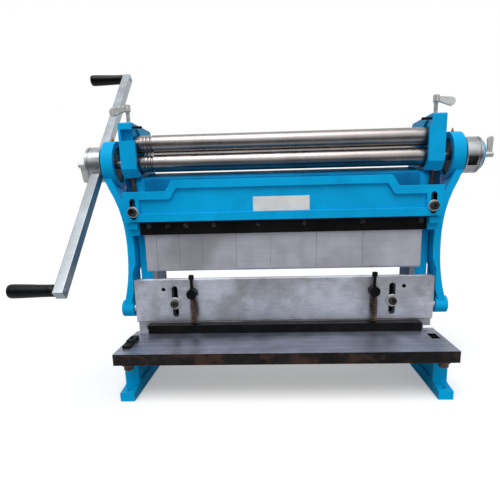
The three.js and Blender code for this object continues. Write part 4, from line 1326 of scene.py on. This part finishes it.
@dataclass
class FormingRolls:
    """Three ground rolls, two of them with wire grooves and a gear."""

    radius: float = 0.01875
    journal: float = 0.012
    neck: float = 0.009
    neck_start: float = 0.004  # outside the left housing
    in_pocket: float = 0.006  # of a front roll's end inside the housing
    end_gap: float = 0.0015  # from the rear roll's end to the housing
    grooves: tuple[float, ...] = (0.0016, 0.0022, 0.0028)
    groove_start: float = 0.0182  # from the roll's left face to the first groove's middle
    groove_pitch: float = 0.008
    groove_steps: int = 8
    chamfer: float = 0.0008
    gear_rounding: float = 0.0003
    sides: int = 128

    def groove_profile(self, start: float) -> list[tuple[float, float]]:
        """The half rounds at the left end, as places and radii from the roll's left face."""
        points: list[tuple[float, float]] = []
        for index, radius in enumerate(self.grooves):
            middle = start + self.groove_start + index * self.groove_pitch
            for step in range(self.groove_steps + 1):
                angle = math.pi * step / self.groove_steps
                place = middle - radius * math.cos(angle)
                points.append((place, self.radius - radius * math.sin(angle)))
        return points

    def roll(self, node: str, name: str, body: str, grooved: bool, necked: bool) -> None:
        """Turns one roll with its journals.

        Args:
            node: the solid that it replaces.
            name: its name.
            body: the body that it turns with.
            grooved: whether it has the wire grooves.
            necked: whether its left journal narrows outside the housing.
        """
        low, high, _ = box_of(node)
        centre = frame_joint({"crank": "crank_swing"}.get(body, f"{body}_turn"))
        clear = -self.in_pocket if grooved else self.end_gap
        left_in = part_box("left_roll_housing")[1].x + clear
        right_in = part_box("right_roll_housing")[0].x - clear
        left_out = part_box("left_roll_housing")[0].x - self.neck_start
        gear_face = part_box("drive_gear")[0].x - SEAT_GAP
        origin = Vector((0, centre.y, centre.z))
        if necked:
            body_profile = [(low.x, self.neck), (left_out, self.neck), (left_out, self.journal)]
        else:
            body_profile = [(low.x, self.journal)]
        body_profile += [
            (left_in, self.journal),
            (left_in, self.radius - self.chamfer),
            (left_in + self.chamfer, self.radius),
        ]
        if grooved:
            body_profile += self.groove_profile(left_in)
        body_profile += [
            (right_in - self.chamfer, self.radius),
            (right_in, self.radius - self.chamfer),
            (right_in, self.journal),
        ]
        if grooved:
            body_profile += [(gear_face, self.journal), (gear_face, self.neck), (high.x, self.neck)]
        else:
            body_profile += [(high.x, self.journal)]
        fit(turned(name, Axis.X, origin, body_profile, self.sides), body, ROLL_STEEL, [node])

    def build(self) -> None:
        """Builds the rolls and the two gears."""
        self.roll("drive_roll", "lower_roll", "crank", True, True)
        self.roll("upper_roll", "top_roll", "upper_roll", True, False)
        self.roll("rear_roll", "back_roll", "rear_roll", False, False)
        dress("drive_gear", "lower_gear", "crank", CAST_IRON, self.gear_rounding, 2)
        dress("driven_gear", "top_gear", "upper_roll", CAST_IRON, self.gear_rounding, 2)


@dataclass
class RamLinks:
    """The ring-topped links that hang the ram from the eccentrics."""

    rounding: float = 0.0022
    nipple_height: float = 0.008

    def build(self, side: Side) -> None:
        """Builds one link and its grease nipple."""
        dress(f"{side.label}_link", f"{side.label}_ram_link", "ram", BLUE_PAINT, self.rounding)
        nipple = f"{side.label}_grease_nipple"
        low, high, middle = box_of(nipple)
        seat = Vector((middle.x, middle.y, high.z - self.nipple_height))
        base = turned(
            f"{side.label}_nipple_hex", Axis.Z, seat,
            [
                (low.z - seat.z, 0.0025), (0, 0.0025), (0, 0.0033), (0.003, 0.0033),
                (0.0034, 0.0027),
            ],
            6,
        )
        tip = turned(
            f"{side.label}_nipple_tip", Axis.Z, seat,
            [
                (0.0030, 0.0020), (0.0044, 0.0014), (0.0050, 0.0014), (0.0060, 0.0021),
                (0.0070, 0.0019), (self.nipple_height, 0.0009),
            ],
            24,
        )
        fit(joined(f"{side.label}_nipple", [base, tip]), "ram", BRASS, [nipple])


@dataclass
class DriveEnds:
    """Eccentrics, hubs and hub levers at both ends of the drive shaft."""

    hub_radius: float = 0.0377
    hub_length: float = 0.034
    spigot: float = 0.016
    groove_back: float = 0.009  # of the groove from the hub's outer face
    groove_wide: float = 0.002
    groove_deep: float = 0.0014
    rim: float = 0.0022
    bar_side: float = 0.020
    bar_in: float = 0.013  # of the socket's middle from the hub's inner face
    clearance: float = 0.0003
    socket_lean: float = 67.0
    barrel: float = 0.006
    barrel_length: float = 0.028
    lever_thick: float = 0.005
    tip_half: float = 0.0066
    tip_lean: float = 0.006  # of the left lever's tip towards its hub
    cam_rounding: float = 0.0008
    cap_rounding: float = 0.0012
    sides: int = 96

    def hub(self, side: Side) -> None:
        """Turns a hub with its groove, and cuts the free square hole on the right."""
        node = f"{side.label}_hub"
        low, high, _ = box_of(node)
        centre = frame_joint("crank_swing")
        away = side.value
        inner, outer = (low.x, high.x) if away > 0 else (high.x, low.x)
        origin = Vector((inner, centre.y, centre.z))
        length = abs(outer - inner)
        radius = self.hub_radius
        face = length - self.hub_length
        groove = length - self.groove_back
        steps = [
            (0.0, self.spigot), (face, self.spigot), (face, radius - 0.0012),
            (face + 0.0012, radius), (groove, radius), (groove + 0.0004, radius - self.groove_deep),
            (groove + self.groove_wide - 0.0004, radius - self.groove_deep),
            (groove + self.groove_wide, radius), (length - self.rim, radius),
            (length, radius - self.rim),
        ]
        outline = [(away * place, size) for place, size in steps]
        drum = turned(node + "_drum", Axis.X, origin, outline, self.sides)
        if side is Side.RIGHT:
            wide = 2 * (self.bar_side / 2 + self.clearance)
            middle = Vector((inner + face + self.bar_in, centre.y, centre.z))
            carved(drum, block(node + "_hole", middle, (wide, wide, 0.1), self.socket_lean))
        fit(drum, "crank", HUB_STEEL, [node])
        if side is Side.RIGHT:
            square = choose(
                drum,
                lambda middle, normal: (middle.yz - centre.yz).length < radius - 0.004
                and abs(normal.x) < 0.99
                and middle.x > inner + face,
            )
            second_finish(drum, OILED_IRON, square)
        else:
            seat = Vector((outer, centre.y - 0.004, centre.z + 0.020))
            screw = socket_screw(node + "_screw", Axis.X, seat, 0.0046, 0.0035, -1.0)
            fit(screw, "crank", SCREW_BLACK)

    def lever(self, side: Side) -> None:
        """Builds a barrel on the hub's face with a flat round-ended tab."""
        node = f"{side.label}_hub_lever"
        low, high, _ = box_of(node)
        centre = frame_joint("crank_swing")
        away = side.value
        root, end = (low.x, high.x) if away > 0 else (high.x, low.x)
        origin = Vector((root, centre.y, centre.z))
        length = abs(end - root)
        barrel = length - self.barrel_length
        radius = self.barrel
        pin = turned(
            node + "_barrel", Axis.X, origin,
            [
                (0.0, 0.004), (away * barrel, 0.004), (away * barrel, radius - 0.0006),
                (away * (barrel + 0.0006), radius), (away * (length - 0.0012), radius),
                (away * length, radius - 0.0016),
            ],
            40,
        )
        top = high.z if away > 0 else low.z
        base = Vector((end - away * (self.tip_half + 0.0016), centre.y, centre.z))
        lean = self.tip_lean if away < 0 else 0.0
        tip = Vector((base.x + lean, centre.y, top - away * self.tip_half))
        flat = tab(node + "_tab", base, tip, self.barrel - 0.0006, self.tip_half, self.lever_thick)
        fit(joined(f"{side.label}_hub_handle", [pin, flat]), node, ZINC, [node])

    def build(self, side: Side) -> None:
        """Builds what sits on one end of the shaft."""
        self.hub(side)
        self.lever(side)
        label = side.label
        dress(f"{label}_eccentric", f"{label}_cam", "crank", OILED_IRON, self.cam_rounding, 2)
        if side is Side.RIGHT:
            dress("right_hub_cap", "right_hub_disc", "crank", BLUE_PAINT, self.cap_rounding)


@dataclass
class CrankBar:
    """The square bar through the left hub and its two turning grips."""

    side: float = 0.020
    reach: float = 0.342
    lean: float = 44.3
    rounding: float = 0.0014
    pin: float = 0.0065
    pin_stand: float = 0.002
    end_round: float = 0.006  # of the bar's upper end
    grip_flare: tuple[tuple[float, float], ...] = (
        (0.000, 0.0102), (0.0012, 0.0112), (0.0040, 0.0116), (0.0100, 0.0115), (0.0180, 0.0116),
        (0.0300, 0.0119), (0.0440, 0.0124), (0.0580, 0.0129), (0.0700, 0.0132), (0.0780, 0.0133),
        (0.0820, 0.0131), (0.0842, 0.0122), (0.0850, 0.0106),
    )

    def build(self) -> None:
        """Builds the bar, its riveted pins and the grips."""
        centre = frame_joint("crank_swing")
        high_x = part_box("crank_bar")[1].x
        bar_x = high_x - self.pin_stand - self.side / 2
        size = (self.side, self.side, 2 * self.reach)
        bar = block("crank_square", Vector((bar_x, centre.y, centre.z)), size, self.lean)
        lean = math.radians(self.lean)
        along = Vector((0, math.sin(lean), math.cos(lean)))
        round_off(bar, lambda co: (co - centre).dot(along) > self.reach - 0.0005, self.end_round, 6)
        soften(bar, self.rounding)
        parts = [bar]
        for label in ("lower", "upper"):
            joint = frame_joint(f"{label}_grip_turn")
            seat = Vector((bar_x + self.side / 2, joint.y, joint.z))
            parts.append(
                turned(
                    f"{label}_rivet", Axis.X, seat,
                    [
                        (-0.001, self.pin), (0.0006, self.pin), (0.0013, self.pin - 0.0012),
                        (self.pin_stand, self.pin - 0.0036),
                    ],
                    32,
                )
            )
            low, high, _ = box_of(f"{label}_grip")
            end = Vector((low.x, joint.y, joint.z))
            parts.append(
                turned(
                    f"{label}_pin_end", Axis.X, end,
                    [(0.004, 0.0048), (-0.0003, 0.0048), (-0.0007, 0.0042)], 32,
                )
            )
            self.grip(label, Vector((high.x, joint.y, joint.z)))
        fit(joined("crank_lever", parts), "crank", BAR_STEEL, ["crank_bar"])

    def grip(self, label: str, seat: Vector) -> None:
        """Turns one grip from its seat at the bar outwards, with an eye for the pin."""
        profile = [(-place, radius) for place, radius in self.grip_flare]
        piece = turned(f"{label}_handle", Axis.X, seat, profile, 64)
        eye = turned(f"{label}_eye", Axis.X, seat, [(-0.082, 0.0054), (-0.087, 0.0054)], 32)
        fit(carved(piece, eye), f"{label}_grip", BLACK_PLASTIC, [f"{label}_grip"])


@dataclass
class Ram:
    """The sliding plate, its blade and the two screws in its slots."""

    rounding: float = 0.0006
    blade_rounding: float = 0.0003
    screw: FrontScrew = FrontScrew(
        "slot_screw", "ram", "ram_plate", 0.0085, 0.006, 0.0026, 0.0007, 0.014, 64
    )
    seam: float = 0.0016  # of dark oil along the plate's foot
    dowel: float = 0.0044
    dowel_x: float = 0.2705
    dowel_drop: float = 0.022

    def build(self) -> None:
        """Builds the plate, the blade and the screws."""
        low, high, middle = box_of("ram_plate")
        patches = [(middle.x, low.z, 1.0, self.seam)]
        for side in Side:
            # a dark patch round each spring: the spring's painted shadow on the plate
            spring = box_of(f"{side.label}_spring")
            patches.append((spring[2].x + 0.002, spring[2].z + 0.004, 0.011, 0.03))
        finish = replace(RAM_STEEL, oil_patches=tuple(patches))
        dress("ram_plate", "sliding_plate", "ram", finish, self.rounding, 2)
        # black plugs set into the blind holes near the top: painted shade inside the holes
        for side in Side:
            x = middle.x + side.value * self.dowel_x
            mouth = Vector((x, low.y, high.z - self.dowel_drop))
            dowel = turned(
                f"{side.label}_dowel", Axis.Y, mouth,
                [(0.0012, self.dowel - 0.0004), (0.0016, self.dowel), (0.0095, self.dowel)], 32,
            )
            fit(dowel, "ram", SHADE_BLACK)
        dress("upper_blade", "ram_blade", "ram", BLADE_STEEL, self.blade_rounding, 2)
        for side in Side:
            self.screw.build(side)


def stand_ring_up(ring: Piece) -> None:
    """Turns a flat ring of wire in edit mode so that it stands square to its coil."""
    shape = bmesh.from_edit_mesh(ring.data)
    for vertex in shape.verts:
        vertex.co = Vector((vertex.co.x, 0.0, vertex.co.y))
    bmesh.update_edit_mesh(ring.data)


@dataclass
class HoldDown:
    """The bar over the table with its guided rods and springs."""

    rounding: float = 0.0008
    guide_rounding: float = 0.0009
    rod: float = 0.0035
    head: float = 0.006
    head_tall: float = 0.010
    coil: float = 0.0064
    wire: float = 0.0018
    turns: int = 11
    steps_per_turn: int = 28

    def build(self) -> None:
        """Builds the bar, the rods, the guides and the springs."""
        dress("hold_down_bar", "press_bar", "hold_down", BLACK_OXIDE, self.rounding, 2)
        for side in Side:
            self.rod_set(side)

    def rod_set(self, side: Side) -> None:
        """Builds one rod with its socket head, its guide boss and its spring."""
        label = side.label
        low, high, middle = box_of(f"{label}_rod")
        foot = Vector((middle.x, middle.y, low.z))
        tall = high.z - low.z
        rod = turned(
            f"{label}_rod_shank", Axis.Z, foot,
            [(0, self.rod), (tall - self.head_tall, self.rod)], 32,
        )
        seat = foot + Vector((0, 0, tall - self.head_tall))
        head = socket_screw(f"{label}_rod_head", Axis.Z, seat, self.head, self.head_tall, 1.0)
        fit(joined(f"{label}_press_rod", [rod, head]), "hold_down", BLACK_OXIDE, [f"{label}_rod"])
        boss = f"{label}_guide_boss"
        dress(f"{label}_rod_guide", boss, "ram", BLACK_OXIDE, self.guide_rounding, 2)
        self.spring(side)

    def spring(self, side: Side) -> None:
        """Winds a spring from a ring of wire with a screw and closes its ends."""
        node = f"{side.label}_spring"
        low, high, _ = box_of(node)
        rod = box_of(f"{side.label}_rod")[2]
        tall = high.z - low.z - self.wire
        deselect()
        bpy.ops.mesh.primitive_circle_add(
            vertices=12, radius=self.wire / 2, fill_type="NOTHING",
            location=(rod.x, rod.y, low.z + self.wire / 2),
        )
        coil = bpy.context.object
        with editing(coil):
            bpy.ops.mesh.select_mode(type="VERT")
            bpy.ops.mesh.select_all(action="SELECT")
            stand_ring_up(coil)
            bpy.ops.mesh.select_all(action="SELECT")
            bpy.ops.transform.translate(value=(self.coil, 0, 0))
        screw = coil.modifiers.new("winding", "SCREW")
        screw.axis = "Z"
        screw.angle = 2 * math.pi * self.turns
        screw.screw_offset = tall
        screw.steps = self.steps_per_turn * self.turns
        screw.render_steps = screw.steps
        screw.use_merge_vertices = True
        pick(coil)
        bpy.ops.object.modifier_apply(modifier=screw.name)
        piece = settle(coil, f"{side.label}_coil_spring")
        with editing(piece):
            bpy.ops.mesh.select_all(action="DESELECT")
            bpy.ops.mesh.select_mode(type="EDGE")
            bpy.ops.mesh.select_non_manifold()
            bpy.ops.mesh.edge_face_add()
            bpy.ops.mesh.select_all(action="SELECT")
            bpy.ops.mesh.normals_make_consistent(inside=False)
        smooth(piece, 50.0)
        piece.data.materials.append(SPRING_STEEL.material())
        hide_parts(node)
        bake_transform(piece)
        LOG.info("%s: %d faces, between ram and hold_down", piece.name, len(piece.data.polygons))


@dataclass
class Studio:
    """Camera, floor, lamps and white surroundings."""

    eye: tuple[float, float, float] = (0.01338, -0.95370, 0.40132)
    lens: float = 29.97
    yaw: float = -2.242
    pitch: float = 12.009
    roll: float = 1.381
    shift: tuple[float, float] = (-0.0268, 0.0751)
    floor_size: float = 60.0
    suns: tuple[tuple[str, float, float, float, float], ...] = (
        ("key", 2.1, 64.0, -12.0, 45.0),
        ("fill", 0.7, 30.0, 14.0, 60.0),
    )
    sky_strength: float = 0.34
    floor_bounce: Colour = (0.38, 0.38, 0.38)  # of the light that the floor throws up
    floor_glow: float = 0.3
    room_tone: Colour = (0.12, 0.12, 0.13)  # of the dark room behind the camera, as mirrored
    room_edge: float = -1.0
    room_top: float = 0.5

    def camera(self) -> None:
        """Stands the camera where the photograph was taken from."""
        yaw, pitch, roll = (math.radians(v) for v in (self.yaw, self.pitch, self.roll))
        level_run = math.cos(pitch)
        ahead = Vector((math.sin(yaw) * level_run, math.cos(yaw) * level_run, -math.sin(pitch)))
        level = Vector((math.cos(yaw), -math.sin(yaw), 0.0))
        below = ahead.cross(level)
        right = math.cos(roll) * level + math.sin(roll) * below
        down = -math.sin(roll) * level + math.cos(roll) * below
        data = bpy.data.cameras.new("camera")
        data.lens = self.lens
        data.sensor_width = 36.0
        data.shift_x, data.shift_y = self.shift
        data.clip_end = 200.0
        camera = placed("camera", data)
        turn = Matrix((right, -down, -ahead)).transposed()
        camera.matrix_world = Matrix.Translation(self.eye) @ turn.to_4x4()
        bpy.context.scene.camera = camera

    def floor(self) -> None:
        """Lays a pale floor that keeps the machine's shadow."""
        deselect()
        bpy.ops.mesh.primitive_plane_add(size=self.floor_size, location=(0, 0, -0.0002))
        floor = settle(bpy.context.object, "floor")
        made = bpy.data.materials.new("pale_floor")
        made.use_nodes = True
        bench = NodeBench(made.node_tree)
        surface = bench.add("BsdfPrincipled")
        surface.inputs["Roughness"].default_value = 0.9
        surface.inputs["Specular IOR Level"].default_value = 0.1
        place = bench.add("TexCoord").outputs["Object"]
        cloud = bench.add("Group", node_tree=mottle())
        cloud.inputs["Scale"].default_value = 2.0
        bench.wire(place, cloud.inputs["Vector"])
        tone = bench.blend(cloud.outputs["Mask"], (0.74, 0.74, 0.74), (0.77, 0.77, 0.77))
        rays = bench.add("LightPath")
        spot = bench.add("SeparateXYZ")
        bench.wire(place, spot.inputs["Vector"])
        far = bench.spread(spot.outputs["Y"], -0.5, self.room_edge, 0.0, 1.0)
        mirrored = bench.number("MULTIPLY", far, rays.outputs["Is Glossy Ray"])
        tone = bench.blend(mirrored, tone, self.room_tone)
        tone = bench.blend(rays.outputs["Is Diffuse Ray"], tone, self.floor_bounce)
        bench.wire(tone, surface.inputs["Base Color"])
        surface.inputs["Emission Color"].default_value = (1.0, 1.0, 1.0, 1.0)
        glow = bench.number("MULTIPLY", rays.outputs["Is Camera Ray"], self.floor_glow)
        bench.wire(glow, surface.inputs["Emission Strength"])
        bench.wire(surface.outputs["BSDF"], bench.add("OutputMaterial").inputs["Surface"])
        floor.data.materials.append(made)

    def sun(self, name: str, strength: float, height: float, around: float, spread: float) -> None:
        """Hangs one soft sun.

        Args:
            name: its name.
            strength: its strength.
            height: degrees above the floor.
            around: degrees from the front, positive to the right.
            spread: its softness in degrees.
        """
        data = bpy.data.lights.new(name, "SUN")
        data.energy = strength
        data.angle = math.radians(spread)
        lamp = placed(name, data)
        rise, turn = math.radians(height), math.radians(around)
        level_run = math.cos(rise)
        towards = Vector((math.sin(turn) * level_run, -math.cos(turn) * level_run, math.sin(rise)))
        lamp.rotation_euler = towards.to_track_quat("Z", "Y").to_euler()

    def surroundings(self) -> None:
        """Makes the surroundings plain light, and white where they are seen or mirrored."""
        world = bpy.data.worlds.new("studio")
        world.use_nodes = True
        bench = NodeBench(world.node_tree)
        soft = bench.add("Background")
        soft.inputs["Color"].default_value = (0.95, 0.97, 1.0, 1.0)
        soft.inputs["Strength"].default_value = self.sky_strength
        rays = bench.add("LightPath")
        way = bench.add("SeparateXYZ")
        bench.wire(bench.add("TexCoord").outputs["Generated"], way.inputs["Vector"])
        front = bench.spread(way.outputs["Y"], -0.1, -0.6, 0.0, 1.0)
        low = bench.spread(way.outputs["Z"], self.room_top, self.room_top - 0.3, 0.0, 1.0)
        room = bench.number("MULTIPLY", front, low)
        room = bench.number("MULTIPLY", room, rays.outputs["Is Glossy Ray"])
        seen = bench.add("Background")
        bench.wire(bench.blend(room, (1.0, 1.0, 1.0), self.room_tone), seen.inputs["Color"])
        seen.inputs["Strength"].default_value = 1.0
        camera, glossy = rays.outputs["Is Camera Ray"], rays.outputs["Is Glossy Ray"]
        either = bench.number("MAXIMUM", camera, glossy)
        either = bench.number("MAXIMUM", either, rays.outputs["Is Transmission Ray"])
        mix = bench.add("MixShader")
        bench.wire(either, mix.inputs["Fac"])
        bench.wire(soft.outputs["Background"], mix.inputs[1])
        bench.wire(seen.outputs["Background"], mix.inputs[2])
        bench.wire(mix.outputs["Shader"], bench.add("OutputWorld").inputs["Surface"])
        bpy.context.scene.world = world

    def build(self) -> None:
        """Sets up the whole studio."""
        bpy.context.scene.view_settings.view_transform = "Standard"
        self.camera()
        self.floor()
        for values in self.suns:
            self.sun(*values)
        self.surroundings()


def main() -> None:
    """Builds the studio and the machine, sub-assembly by sub-assembly."""
    logging.basicConfig(level=logging.INFO, format="%(name)s %(message)s")
    Studio().build()
    for side in Side:
        SideFrames().build(side)
    Table().build()
    Beams().build()
    FoldingFingers().build()
    Apron().build()
    for side in Side:
        RollHousings().build(side)
    FormingRolls().build()
    for side in Side:
        RamLinks().build(side)
        DriveEnds().build(side)
    CrankBar().build()
    Ram().build()
    HoldDown().build()


if __name__ == "__main__":
    main()
